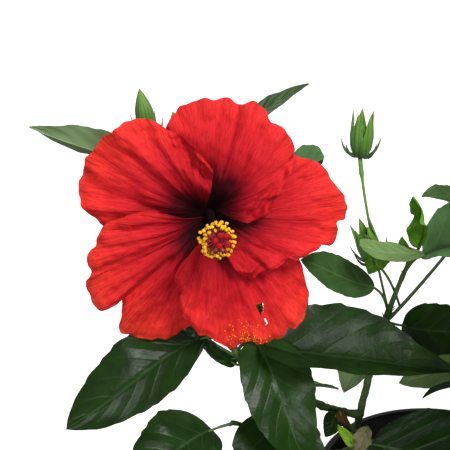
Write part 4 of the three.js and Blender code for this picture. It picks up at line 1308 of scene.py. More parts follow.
@dataclass
class LeafMaker:
    """Makes leaves: blades with ruffled halves and toothed edges, and their stalks.

    A placed leaf is fine and a ruled one plain, by the steps along the blade and across each half,
    and by the steps along the stalk and round it.
    """


    fine: tuple[int, int] = (32, 5)
    plain: tuple[int, int] = (7, 2)
    fine_stalk: tuple[int, int] = (16, 8)
    plain_stalk: tuple[int, int] = (8, 5)
    teeth: int = 8
    tooth: float = 0.055
    thick: float = 0.3
    rib_thick: float = 0.5

    def blade(self, leaf: Leaf, phase: float) -> tuple[Array, Array, Array]:
        """Gives a leaf's blade as one closed form whose rings run over its face and back below.

        The plain blade gets teeth that swell along its edge and drop, halves that level out
        towards their edge, waves that grow towards the edge, and a hooked tip. Its thickness is
        nothing at the edge and most under the midrib.

        Args:
            leaf: The leaf.
            phase: Where its waves begin, in radians.

        Returns:
            The rings, their UV places (length share and -1 to 1 across), and 0 for each quad of
            the upper face or 1 for each of the underside.
        """
        steps, halves = self.plain if leaf.ruled else self.fine
        u = np.linspace(0, 1, steps + 1) ** 1.1
        across = np.linspace(-1, 1, 2 * halves + 1)
        across = np.sign(across) * np.abs(across) ** 1.2
        v = np.concatenate([across, across[-2:0:-1]])
        below = np.arange(len(v)) > 2 * halves
        grid_u, grid_v = np.meshgrid(u, v, indexing="ij")
        along, left, up, length = leaf.directions()
        saw = (grid_u * self.teeth) % 1.0 - 0.5
        toothed = self.tooth * saw * ease(0.1, 0.3, grid_u) * ease(1.0, 0.9, grid_u)
        half = leaf.half_width(grid_u) * (1 + (0.0 if leaf.ruled else toothed))
        side = half * grid_v
        flatter = 1.12 - 0.3 * np.abs(grid_v)
        rise = leaf.arch * 4 * grid_u * (1 - grid_u) + np.abs(side) * math.sin(leaf.fold) * flatter
        waves = np.sin(grid_u * 11 + phase + 2.1 * np.sign(grid_v)) + 0.5 * np.sin(grid_u * 23 + 2 * phase)
        rise += leaf.ruffle * leaf.wide * waves * np.abs(grid_v) ** 1.6 * np.sin(np.pi * grid_u)
        rise -= leaf.hook * length * ease(0.5, 1.1, grid_u)
        sway = 0.035 * length * np.sin(grid_u * 3.0 + phase) * grid_u * (1 - grid_u) * 4
        rib = np.where(below, self.rib_thick * np.exp(-((grid_v / 0.1) ** 2)), 0)
        thick = self.thick * (1 - grid_v**4) + rib
        rise += np.where(below, -thick, thick)
        points = np.asarray(leaf.base) + (length * grid_u)[..., None] * along
        points = points + (side * math.cos(leaf.fold) + sway)[..., None] * left + rise[..., None] * up
        places = np.stack([grid_u, grid_v], axis=-1)
        places = np.concatenate([places, places[:, :1]], axis=1)
        faces = np.broadcast_to((np.arange(len(v)) >= 2 * halves).astype(int), (steps, len(v)))
        return points, places, faces

    def stalk(self, leaf: Leaf, root: Array, scale: float) -> Array:
        """Gives a leaf's stalk as rings: it tapers, and swells at both ends where it bends."""
        steps, sides = self.plain_stalk if leaf.ruled else self.fine_stalk
        shares = np.linspace(0, 1, steps + 1)
        ends = 0.35 * np.exp(-(((shares - 0.9) / 0.07) ** 2)) + 0.5 * np.exp(-((shares / 0.1) ** 2))
        return closed_rings(leaf.stalk(root), (mix((1.0, 0.6), shares) + 0.6 * ends) * scale, sides)


@dataclass
class Foliage:
    """The masses of foliage: each has a piece of leaves, a piece of twigs and a piece of buds."""

    growth: Growth
    bark: Material
    calyx: Material
    maker: LeafMaker = field(default_factory=LeafMaker)
    leaf_materials: dict[LeafKind, list[Material]] = field(default_factory=dict)

    def build(self) -> None:
        """Builds every mass in place of its solid."""
        for kind, finish in LEAF_FINISHES.items():
            self.leaf_materials[kind] = finish.build()
        for number, name in enumerate(MASSES):
            pieces = [self.leaves(number, name), self.twigs(number, name)]
            if MASSES[name].buds:
                pieces.append(self.buds(number, name))
            for piece in pieces:
                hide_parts(name)

    def leaves(self, number: int, name: str) -> bpy.types.Object:
        """Builds a mass's leaf blades as one piece, with two slots for each kind of leaf in it.

        Args:
            number: Seeds the waves and tones of its leaves.
            name: The mass.

        Returns:
            The piece.
        """
        shoots = self.growth.shoots[name]
        kinds = [kind for kind in LeafKind if any(leaf.kind is kind for s in shoots for leaf in s.leaves)]
        draw = np.random.default_rng(100 + number)
        skin = Skin()
        for shoot in shoots:
            for leaf in shoot.leaves:
                points, places, faces = self.maker.blade(leaf, draw.uniform(0, 2 * np.pi))
                skin.add(points, places, slot=faces + 2 * kinds.index(leaf.kind), tone=draw.uniform(0, 1))
        materials = [material for kind in kinds for material in self.leaf_materials[kind]]
        return skin.piece(f"{name}_leaves", materials)

    def twigs(self, number: int, name: str) -> bpy.types.Object:
        """Builds a mass's twigs, leaf stalks and stipules as one piece.

        Args:
            number: Seeds its stipules and the tones of its stalks.
            name: The mass.

        Returns:
            The piece.
        """
        draw = np.random.default_rng(200 + number)
        skin = Skin()
        for shoot in self.growth.shoots[name]:
            self.twig(skin, shoot)
            for leaf in shoot.leaves:
                root = shoot.path.at(leaf.at)
                scale = 1.0 if shoot.is_main else 0.85
                skin.add(self.maker.stalk(leaf, root, scale), tone=draw.uniform(0.8, 1.0))
                self.stipules(skin, root, shoot.path.heading(leaf.at), draw)
        return skin.piece(f"{name}_twigs", [self.bark], sharp=80)

    def twig(self, skin: Skin, shoot: Shoot) -> None:
        """Adds a twig that tapers, with a bell of swelling where each leaf leaves it.

        Args:
            skin: What the form is added to.
            shoot: The twig.
        """
        length = shoot.path.length(30)
        shares = np.linspace(0, 1, max(8, round(length / (2.2 if shoot.is_main else 3.2))))
        radii = mix(shoot.radii, shares)
        for leaf in shoot.leaves:
            radii = radii + 0.3 * shoot.radii[1] * np.exp(-((((shares - leaf.at) * length) / 1.8) ** 2))
        rings = closed_rings(shoot.path, radii, 12 if shoot.is_main else 7)
        if shoot.is_main:
            rings[0] -= shoot.path.heading(0.0) * 1.2
        ages = np.broadcast_to(mix((0.5, 0.75), shares)[:, None], rings.shape[:2])
        skin.add(rings, tone=ages)

    def stipules(self, skin: Skin, root: Array, heading: Array, draw: np.random.Generator) -> None:
        """Adds the two awl-shaped stipules that stand beside a leaf's stalk.

        Args:
            skin: What the forms are added to.
            root: Where the stalk leaves its twig.
            heading: The twig's heading there.
            draw: The mass's random numbers.
        """
        for _ in range(2):
            away = unit(draw.normal(size=3))
            away = unit(away - heading * (away @ heading)) * 0.7 + heading * 0.9
            tip = root + away * draw.uniform(3.2, 5.2)
            path = Path.through(root, (root + tip) / 2 + heading * 0.4, tip)
            skin.add(closed_rings(path, np.array([0.5, 0.55, 0.35, 0.08]), 4), tone=0.9)

    def buds(self, number: int, name: str) -> bpy.types.Object:
        """Builds a mass's buds as one piece: their cups, bracts and long jointed stalks.

        Args:
            number: Seeds their bracts.
            name: The mass.

        Returns:
            The piece.
        """
        maker = BudMaker()
        skin = Skin()
        for i, bud in enumerate(MASSES[name].buds):
            root = self.growth.shoots[name][bud.twig].path.at(bud.at)
            maker.bud(skin, bud, root, seed=10 * number + i)
        return skin.piece(f"{name}_buds", [self.calyx, self.bark])


@dataclass
class BudMaker:
    """Makes buds and calyxes: a five-lobed cup or a closed point, over a star of bracts."""

    lobes: int = 5
    wall: float = 0.45
    steps: int = 14
    bracts: int = 7
    knot_at: float = 0.84

    def axes(self, axis: Array) -> tuple[Array, Array]:
        """Gives two directions square to a bud's axis and to each other."""
        across = unit(np.cross(axis, [0.3, 1.0, 0.2]))
        return across, np.cross(across, axis)

    def form(self, foot: Array, axis: Array, height: Array, radius: Array, angle: Array) -> Array:
        """Gives points round an axis from their heights, radii and angles."""
        across, other = self.axes(axis)
        ray = np.cos(angle)[..., None] * across + np.sin(angle)[..., None] * other
        return foot + height[..., None] * axis + radius[..., None] * ray

    def cup(self, skin: Skin, foot: Array, tip: Array, radius: float, notch: float, flare: float) -> None:
        """Adds an open cup: its wall runs up to a rim of pointed lobes and back down inside.

        The rim's height goes from the notch to the full length as 1 less a power of the distance
        from the lobe's middle. The radius grows fast over the foot and then slowly.

        Args:
            skin: What the form is added to.
            foot: The middle of its foot.
            tip: The point that its lobes reach up to, on the axis.
            radius: Its widest radius.
            notch: The height of the notches as a share of the length.
            flare: How much wider the lobes' tips stand than the cup, as a share.
        """
        axis, length = measured(tip - foot)
        angle = np.arange(self.lobes * 8) / (self.lobes * 8) * 2 * np.pi
        off = np.abs(((angle * self.lobes / (2 * np.pi)) % 1.0) * 2 - 1)
        rim = notch + (1 - notch) * (1 - off**1.25)
        up = np.linspace(0, 1, self.steps)
        share = np.concatenate([up, up[:1:-1]])[:, None] * rim
        inside = (np.arange(2 * self.steps - 2) >= self.steps)[:, None]
        wide = np.interp(share, [0, 0.05, 0.2, 0.45, 1.0], [0.34, 0.62, 0.9, 1.0, 0.92 + flare])
        wide = wide * (1 + 0.05 * np.cos(angle * self.lobes * 2))
        wide = wide * radius - np.where(inside, self.wall, 0.0)
        turned = np.broadcast_to(angle + np.pi / self.lobes, share.shape)
        rings = self.form(foot, axis, share * length, wide, turned)
        round_ = np.linspace(0, 1, len(angle) + 1)
        places = np.stack(np.broadcast_arrays(np.concatenate([share, share[:, :1]], axis=1), round_), axis=-1)
        skin.add(rings, places)

    def closed(self, skin: Skin, foot: Array, tip: Array, radius: float) -> None:
        """Adds a closed bud, an egg drawn to a point, with five ridges that wind to its tip.

        Args:
            skin: What the form is added to.
            foot: The middle of its foot.
            tip: Its tip.
            radius: Its widest radius.
        """
        axis, length = measured(tip - foot)
        share = np.linspace(0, 1, self.steps + 6)[:, None]
        angle = np.arange(30) / 30 * 2 * np.pi
        heights = [0, 0.04, 0.16, 0.4, 0.6, 0.78, 0.92, 1]
        wide = np.interp(share, heights, [0.3, 0.55, 0.86, 1, 0.9, 0.6, 0.26, 0.04])
        wide = wide * (1 + 0.09 * np.cos(angle * self.lobes + share * 2.0))
        rings = self.form(foot, axis, share * length + 0 * angle, wide * radius, angle + 0 * share)
        skin.add(rings)

    def star(
        self, skin: Skin, foot: Array, axis: Array, radius: float, reach: float, rise: float, seed: int
    ) -> None:

        """Adds the bracts under a cup, thin blades that bend out and then up to slender tips.

        Args:
            skin: What the forms are added to.
            foot: The middle of the cup's foot.
            axis: The cup's direction.
            radius: The cup's widest radius.
            reach: How far out the bracts' tips stand.
            rise: About how high their tips stand over the foot.
            seed: Seeds their bends and places.
        """
        draw = np.random.default_rng(seed)
        across, other = self.axes(axis)
        for i in range(self.bracts):
            angle = (i + draw.uniform(-0.15, 0.15)) / self.bracts * 2 * np.pi
            ray = across * math.cos(angle) + other * math.sin(angle)
            start = foot + ray * radius * 0.3
            out = foot + ray * reach * 0.85 + axis * rise * draw.uniform(-0.1, 0.15)
            end = foot + ray * reach + axis * rise * draw.uniform(0.8, 1.15)
            radii = np.array([0.8, 0.95, 0.95, 0.9, 0.78, 0.6, 0.36, 0.1])
            skin.add(closed_rings(Path.through(start, out, end), radii, 5), slot=1, tone=0.5)

    def bud(self, skin: Skin, bud: Bud, root: Array, seed: int) -> None:
        """Adds a bud on its jointed stalk, over a star of bracts.

        Args:
            skin: What the forms are added to.
            bud: Its sizes.
            root: Where its stalk leaves the twig.
            seed: Seeds its bracts.
        """
        foot, tip = np.array(bud.base, float), np.array(bud.tip, float)
        axis, length = measured(tip - foot)
        if bud.is_open:
            self.cup(skin, foot - axis * 0.5, tip, bud.radius, 0.5, 0.0)
            self.closed(skin, foot + axis, foot + axis * length * 0.72, bud.radius * 0.55)
        else:
            self.closed(skin, foot - axis * 0.5, tip, bud.radius)
        self.star(skin, foot, axis, bud.radius, bud.radius * 1.75, length * 0.45, seed)
        self.jointed_stalk(skin, Path.through(root, bud.via, foot), (0.75, 0.8))

    def jointed_stalk(self, skin: Skin, path: Path, radii: Pair) -> None:
        """Adds a stalk that swells at its joint, where a spent flower drops, and is thicker above."""

        shares = np.linspace(0, 1, 34)
        joint = 0.35 * np.exp(-(((shares - self.knot_at) / 0.025) ** 2))
        thicker = 0.45 * ease(self.knot_at - 0.02, self.knot_at + 0.03, shares)
        skin.add(closed_rings(path, mix(radii, shares) + joint + thicker, 9))


@dataclass(frozen=True)
class PetalFinish:
    """A fresh hibiscus petal: thin, veined and softly velvety.

    It glows red, deepens through crimson to a near-black eye, and fine veins fan out from its
    claw. The tone is the distance from the throat over 80 mm, and the UV place runs from claw to
    margin and from side to side.
    """

    back: str = "#d8484c"
    vein: str = "#b07080"
    # The colour that multiplies the petal over its broad folds, as painted shade.
    fold: str = "#c09098"
    coarse_veins: float = 26.0
    fine_veins: float = 70.0

    def build(self) -> list[Material]:
        """Makes the materials of the petal's face and back."""
        face = ((0.0, "#160206"), (0.17, "#24040a"), (0.25, "#48060f"), (0.31, "#860c1a"), (0.39, "#b01722"),
                (0.55, "#c62028"), (0.8, "#da2f29"), (0.97, "#ee4535"))
        back = ((0.0, "#5a0f18"), (0.25, "#a82630"), (0.5, self.back), (1.0, "#e5605a"))
        return [self.side("petal_face", face), self.side("petal_back", back)]

    def side(self, name: str, stops: Sequence[tuple[float, str]]) -> Material:
        """Makes the material of one side.

        Args:
            name: The material's name.
            stops: The side's colours and the tones that they lie at.

        Returns:
            The material.
        """
        material, add = new_material(name)
        place = add("UVMap", uv_map="UVMap")
        fanned = add("Mapping", {"Vector": place, "Scale": (2.2, self.coarse_veins, 1.0)})
        veins = add("TexNoise", {"Vector": fanned, "Scale": 1.0, "Detail": 3.0})
        finely = add("Mapping", {"Vector": place, "Scale": (4.5, self.fine_veins, 1.0)})
        threads = add(
            "TexNoise", {"Vector": finely, "Scale": 1.0, "Detail": 4.0, "Roughness": 0.6, "Distortion": 1.1}
        )
        ridge = add("Math", (threads, 0.5), operation="SUBTRACT")
        ridged = add("Math", (ridge,), operation="ABSOLUTE")
        broad = add("Mapping", {"Vector": place, "Scale": (1.1, 7.0, 1.0)})
        folds = add("TexNoise", {"Vector": broad, "Scale": 1.0, "Detail": 2.0})
        tone = add("Attribute", attribute_name="tone").outputs["Fac"]
        streak = add("MapRange", {"Value": veins, "To Min": 0.045, "To Max": -0.045})
        streaked = add("Math", (tone, streak), operation="ADD")
        thread = add("Math", (threads, -0.14, streaked), operation="MULTIPLY_ADD")
        evened = add("Math", (thread, 0.07), operation="ADD")
        colour = add("ValToRGB", (evened,), stops=stops)
        lined = add("MapRange", (ridged, 0.0, 0.04, 0.6, 0.0))
        veined = add(
            "Mix", {0: lined, 6: colour, 7: linear(self.vein)}, data_type="RGBA", blend_type="MULTIPLY"
        )
        # Painted shade: where the broad fold noise runs high the colour is multiplied by the fold colour; the
        # same noise also raises the relief.
        painted_fold_shade = add("MapRange", (folds, 0.48, 0.75, 0.0, 0.55))
        folded = add(
            "Mix", {0: painted_fold_shade, 6: veined, 7: linear(self.fold)}, data_type="RGBA", blend_type="MULTIPLY"
        )
        height = add("Math", (veins, -0.8, folds), operation="MULTIPLY_ADD")
        crinkled = add("Math", (threads, 0.45, height), operation="MULTIPLY_ADD")
        relief = add("Bump", {"Height": crinkled, "Strength": 0.9, "Distance": 1.8 * MM})
        finish_material(
            add, {"Base Color": folded, "Roughness": 0.6, "Specular IOR Level": 0.08, "Normal": relief}
        )
        return material


@dataclass(frozen=True)
class GrainFinish:
    """A soft grainy skin on the bloom's small parts, such as pollen or a stigma's velvet.

    Pollen gives matt yellow heads with orange hollows, a stigma's hairs give deep red pads with a
    pinkish bloom at their edge, and the column's flesh stays near black.
    """

    name: str
    high: str
    low: str
    grain_mm: float
    sheen: str
    gloss: float = 0.2

    def build(self) -> Material:
        """Makes the material."""
        material, add = new_material(self.name)
        spot = add("TexCoord").outputs["Object"]
        grain = add("TexNoise", {"Vector": spot, "Scale": 1 / (self.grain_mm * MM), "Detail": 2.0})
        colour = add("ValToRGB", (grain,), stops=((0.35, self.low), (0.6, self.high)))
        relief = add("Bump", {"Height": grain, "Strength": 0.6, "Distance": 0.3 * MM})
        finish_material(
            add,
            {
                "Base Color": colour,
                "Roughness": 0.75,
                "Specular IOR Level": self.gloss,
                "Sheen Weight": self.gloss / 2,
                "Sheen Tint": linear(self.sheen),
                "Normal": relief,
            },
        )
        return material


@dataclass(frozen=True)
class Crease:
    """A fold in a petal along a line between two places, each an angle and a radius in mm."""

    start: Pair
    end: Pair
    depth: float
    width: float


@dataclass(frozen=True)
class Crumple:
    """A crumpled bit of a petal: its place as an angle and a radius in mm, its size, the painted shade that
    darkens it and its roughness.
    """

    place: Pair
    size: float
    dark: float
    rough: float = 0.0


@dataclass(frozen=True)
class Petal:
    """A petal by its middle angle and its margin, as angles in degrees and radii in millimetres.

    The margin runs from its clockwise side, which lies before its neighbour, to its other side,
    which lies behind. Each tear is a row of quads torn out: its step from the claw, its first
    quad across and the one past its last.
    """

    name: str
    angle: float
    margin: tuple[Pair, ...]
    creases: tuple[Crease, ...] = ()
    crumples: tuple[Crumple, ...] = ()
    tears: tuple[tuple[int, int, int], ...] = ()


PETALS = (
    Petal(
        "upper_left", 152,
        ((89, 26), (96, 32), (105, 41), (110, 46), (114, 50), (118, 56.5), (121, 60), (126, 63.5),
         (133, 66), (144, 68), (154, 69), (164, 68), (170, 67), (176, 62.5), (181, 56.5), (190, 50),
         (198, 40), (204, 27)),
        (Crease((96, 22), (110, 44), 4.5, 2.6), Crease((104, 24), (119, 52), 2.2, 3.0),
         Crease((150, 18), (140, 52), 1.8, 3.0), Crease((172, 22), (165, 55), 2.0, 3.5),
         Crease((128, 26), (126, 55), 1.6, 2.6)),
        (Crumple((101, 31), 7.0, 0.0, 1.0), Crumple((110, 42), 5.0, 0.1, 0.9)),
    ),
    Petal(
        "upper", 75,
        ((-5, 18.5), (7, 26.5), (17, 31), (27, 39.5), (32, 46), (37, 51), (41, 55), (50, 57.5),
         (55, 57.5), (58, 56.5), (63, 60.5), (69, 62), (72, 61.5), (74, 59), (77, 58.5), (82, 60.5),
         (87, 59), (93, 59.5), (100, 58.5), (106, 56.5), (114, 52), (120, 42), (124, 25)),
        (Crease((8, 20), (20, 32), 4.5, 2.6), Crease((22, 24), (34, 42), 2.8, 2.6),
         Crease((60, 20), (62, 50), 2.0, 3.0), Crease((92, 18), (88, 48), 1.8, 3.0),
         Crease((74, 24), (75, 56), 1.5, 2.2)),
        (Crumple((14, 31), 6.0, 0.05, 1.2), Crumple((30, 44), 4.5, 0.06, 0.8)),
    ),
    Petal(
        "right", 7,
        ((-70, 18.5), (-66, 26.5), (-58, 34), (-45, 36.5), (-26, 46.5), (-18, 54), (-14, 57.5),
         (-15, 62.5), (-10, 64.5), (-4, 64.5), (-3, 67.5), (1, 69), (6, 68.5), (15, 64), (22, 62),
         (27, 59), (31, 54.5), (37, 50), (42, 42), (46, 26)),
        (Crease((-54, 18), (-44, 33), 3.4, 2.8), Crease((-36, 20), (-28, 42), 2.0, 3.0),
         Crease((-5, 20), (-6, 52), 2.0, 3.0), Crease((18, 20), (20, 50), 1.8, 2.6)),
        (Crumple((-52, 33), 6.0, 0.04, 0.7), Crumple((40, 34), 6.0, 0.08, 0.8)),
    ),
    Petal(
        "lower_right", -63,
        ((-130, 26), (-127, 33.5), (-120, 37), (-115, 39.5), (-115, 44), (-111, 48), (-104, 53.5),
         (-98, 58.5), (-93, 59.5), (-87, 65), (-82, 69), (-74, 69), (-67, 73.5), (-61, 76), (-53, 73.5),
         (-47, 71.5), (-41, 66.5), (-32, 55), (-27, 49.5), (-22, 40), (-18, 26)),
        (Crease((-112, 18), (-98, 46), 2.0, 3.0), Crease((-75, 20), (-72, 58), 2.0, 3.5),
         Crease((-60, 26), (-61, 66), 1.4, 2.4), Crease((-48, 20), (-50, 58), 1.8, 3.0),
         Crease((-33, 22), (-36, 50), 2.0, 3.0)),
        (Crumple((-40, 32), 7.0, 0.1, 0.6),),
        ((31, 88, 94), (32, 88, 93), (33, 88, 92), (34, 88, 91), (35, 88, 89),
         (38, 89, 90), (39, 89, 90), (40, 89, 90), (41, 88, 89)),
    ),
    Petal(
        "lower_left", 222,
        ((166, 29), (170, 36.5), (174, 42.5), (178, 52), (183, 55.5), (186, 58), (190, 59), (192, 62.5),
         (196, 65.5), (201, 66), (204, 68), (206, 71.5), (212, 74), (215, 74), (219, 74), (221, 67),
         (222, 62.5), (226, 68), (231, 76), (236, 76), (241, 73.5), (246, 71.5), (252, 66.5), (257, 60),
         (262, 50), (264, 32)),
        (Crease((180, 20), (184, 48), 2.2, 3.0), Crease((222, 30), (222, 62), 3.0, 2.4),
         Crease((240, 22), (243, 60), 1.8, 3.0), Crease((203, 24), (204, 60), 1.6, 2.6)),
        (Crumple((221, 63), 4.5, 0.22, 1.2), Crumple((255, 46), 7.0, 0.1, 0.4)),
    ),
)


@dataclass
class BloomPetals:
    """The five petals and the short tube that joins them."""

    along: int = 52
    across: int = 170
    claw: float = 3.0
    funnel: tuple[float, float, float] = (27.0, 12.0, 0.0019)
    lean: float = 9.0
    thick: float = 0.28
    ruffle: float = 2.1
    pleat: float = 0.26
    crinkle: float = 0.7
    ragged: float = 0.3
    lip: float = 1.3
    tone_reach: float = 80.0
    # How much the tone rises on the clockwise side: partly the eye's own colour, partly painted shade left on
    # the side tucked under a neighbour.
    tucked: float = 0.15
    # How much painted shade each mm of a crease's depth gives its bottom.
    painted_crease_shade: float = 0.008
    specks: int = 90
    tube_sides: int = 30
    tube_wall: tuple[Pair, ...] = (
        (-4.2, 3.8), (-2, 4.1), (1, 4.6), (4, 5.3), (7, 6.0), (10, 7.2), (12.5, 8.7),
        (12.5, 8.4), (10, 6.8), (7, 5.6), (4, 4.8), (1, 4.1), (-1, 3.6),
    )

    def margin(self, petal: Petal, count: int) -> Array:
        """Gives a petal's margin in the bloom's plane, as a Catmull-Rom line through its places.

        Args:
            petal: The petal.
            count: How many points the line has.

        Returns:
            The points, evenly spaced, as millimetres to the right and to the top.
        """
        line = polar(*np.transpose(petal.margin))
        reach = np.concatenate([[0], np.cumsum(np.linalg.norm(np.diff(line, axis=0), axis=1))])
        where = np.linspace(0, reach[-1], count)
        i = np.clip(np.searchsorted(reach, where, side="right") - 1, 0, len(line) - 2)
        s = ((where - reach[i]) / (reach[i + 1] - reach[i]))[:, None]
        p0, p1 = line[np.maximum(i - 1, 0)], line[i]
        p2, p3 = line[i + 1], line[np.minimum(i + 2, len(line) - 1)]
        bend, twist = 2 * p0 - 5 * p1 + 4 * p2 - p3, 3 * p1 - p0 - 3 * p2 + p3
        return 0.5 * (2 * p1 + (p2 - p0) * s + bend * s**2 + twist * s**3)

    def surface(self, number: int, petal: Petal) -> tuple[Array, Array, Array]:
        """Gives a petal's middle surface.

        A point goes from the claw towards its place on the margin by the share s. Its height is
        the funnel's, a saturating rise less a square law, plus the lean that lifts the clockwise
        side, plus pleats that fan from the claw, crinkles, ruffles that grow towards the margin as
        the cube of s, bells of crumpling, and creases and a margin that are pressed down. The tone
        is the distance from the throat, raised on the clockwise side, which lies over its
        neighbour: partly the eye's own colour, partly painted shade on the side tucked under.
        It is lowered in creases and crumples as painted shade.

        Args:
            number: Seeds its ruffles.
            petal: The petal.

        Returns:
            The points in millimetres, the tones, and the UV places.
        """
        draw = np.random.default_rng(number + 7)
        edge = self.margin(petal, self.across)
        phases = draw.uniform(0, 2 * np.pi, 9)
        around = np.linspace(-1, 1, self.across)
        scallops = np.sin(around * 36 + phases[6]) + 0.7 * np.sin(around * 74 + phases[7])
        scallops = scallops + 0.8 * np.sin(around * 17 + 2 * np.sin(around * 23 + phases[8]))
        edge = edge * (1 + self.ragged * (scallops * (1 - 0.5 * np.abs(around)) / 50)[:, None])
        claw = polar(petal.angle, self.claw)
        s = (np.linspace(0, 1, self.along) ** 0.85)[:, None]
        t = np.linspace(-1, 1, self.across)[None]
        flat = claw + (edge[None] - claw) * s[..., None]
        far = np.linalg.norm(flat, axis=-1)
        rise, soft, fall = self.funnel
        height = rise * (1 - np.exp(-far / soft)) - fall * far**2
        height = height - self.lean * np.sin(t * np.pi / 2) * ease(0.0, 0.55, s)
        ruffles = np.sin(t * 9.5 + phases[0]) + 0.6 * np.sin(t * 21 + phases[1] + s)
        ruffles = ruffles + (0.35 * np.sin(t * 43 + phases[2] - s) + 0.1 * np.sin(t * 88 + phases[5])) * s**2
        height = height + self.ruffle * s**3 * ruffles
        pleats = np.sin(t * 31 + phases[3] + 2 * s) + 0.7 * np.sin(t * 53 + phases[4] - s)
        height = height + self.pleat * pleats * ease(0.08, 0.4, s) * (1 - 0.4 * s)
        level = np.concatenate([flat, 0 * far[..., None]], axis=-1)
        crinkles = swell(level, 13.0, number) + 0.5 * swell(level, 6.0, number + 9)
        height = height + self.crinkle * crinkles * ease(0.25, 0.6, s)
        # The clockwise side is lifted: partly the eye's own colour, partly painted shade on the tucked side.
        shade = far / self.tone_reach + self.tucked * ease(0.0, 1.0, -t)
        for crease in petal.creases:
            start, end = polar(*crease.start), polar(*crease.end)
            line = end - start
            share = np.clip((flat - start) @ line / (line @ line), 0, 1)
            off = np.linalg.norm(flat - start - share[..., None] * line, axis=-1)
            dip = np.exp(-((off / crease.width) ** 2))
            height = height - crease.depth * dip
            # Painted shade: the tone drops along the bottom of the crease.
            shade = shade - self.painted_crease_shade * crease.depth * dip
        for crumple in petal.crumples:
            near = np.exp(-(((flat - polar(*crumple.place)) / crumple.size) ** 2).sum(axis=-1))
            # Painted shade: the tone drops over the crumple.
            shade = shade - crumple.dark * near
            height = height + crumple.rough * near * (np.sin(t * 61 + 9 * s) + np.sin(s * 47 + 11 * t))
        height = height - self.lip * ease(0.93, 1.0, s)
        right, top, out = SEAT.directions()
        points = np.array(SEAT.throat) + flat[..., :1] * right + flat[..., 1:] * top + height[..., None] * out
        places = np.stack(np.broadcast_arrays(s, t * 0.5 + number), axis=-1)
        return points, shade, places

    def build(self) -> None:
        """Builds the petals and their tube in place of their solid."""
        skin, pollen = Skin(), Skin()
        out = SEAT.directions()[2]
        for number, petal in enumerate(PETALS):
            points, shade, places = self.surface(number, petal)
            if petal.name == "lower_right":
                self.dust(pollen, points)
            thick = self.thick * (1.6 - np.linspace(0, 1, self.along))[:, None, None] * out
            rings = np.concatenate([points + thick, (points - thick)[:, ::-1]], axis=1)
            tone = np.concatenate([shade, shade[:, ::-1]], axis=1)
            places = np.concatenate([places, places[:, ::-1], places[:, :1]], axis=1)
            faces = (np.arange(rings.shape[1]) >= self.across - 1).astype(int)
            torn = np.zeros((self.along - 1, rings.shape[1]), bool)
            for row, first, last in petal.tears:
                torn[row, first:last] = True
            skin.add(rings, places, slot=faces, tone=tone, zipped=True, torn=torn)
        self.tube(skin)
        piece = skin.piece("bloom_petals_blades", PetalFinish().build(), sharp=70)
        # The wax of the leaves would mirror the petals as brown patches.
        piece.visible_glossy = False
        grains = GrainFinish("spilt_pollen", "#f2a41c", "#c9661a", 0.4, "#ffd070")
        specks = pollen.piece("bloom_petals_pollen", [grains.build()])
        for each, slot in ((piece, "petal"), (specks, "stamen")):
            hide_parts("bloom_petals")

    def dust(self, skin: Skin, points: Array) -> None:
        """Adds the grains of pollen that have dropped on a petal, round specks of several sizes.

        Args:
            skin: What the forms are added to.
            points: The petal's middle surface, from the claw to the margin and across.
        """
        draw = np.random.default_rng(12)
        out = SEAT.directions()[2]
        for _ in range(self.specks):
            i = round(self.along * min(0.97, abs(draw.normal(0.88, 0.06))))
            j = round(self.across * np.clip(draw.normal(0.44, 0.035), 0.2, 0.7))
            size = draw.uniform(0.22, 0.5)
            foot = points[min(i, self.along - 1), j] + out * self.thick * 0.6
            ends = Path.through(foot, foot + out * size, foot + out * size * 1.6)
            skin.add(closed_rings(ends, np.array([0.6, 1.0, 0.5]) * size, 5))

    def tube(self, skin: Skin) -> None:
        """Adds the tube that joins the petals: its wall runs up outside and back down inside."""
        heights, radii = np.transpose(self.tube_wall)[..., None, None]
        rays = SEAT.ray(np.arange(self.tube_sides) * (360 / self.tube_sides))
        rings = np.array(SEAT.throat) + heights * SEAT.directions()[2] + radii * rays
        is_outer = np.arange(len(rings) - 1) < len(rings) // 2
        skin.add(rings, slot=is_outer.astype(int)[:, None], tone=0.12)


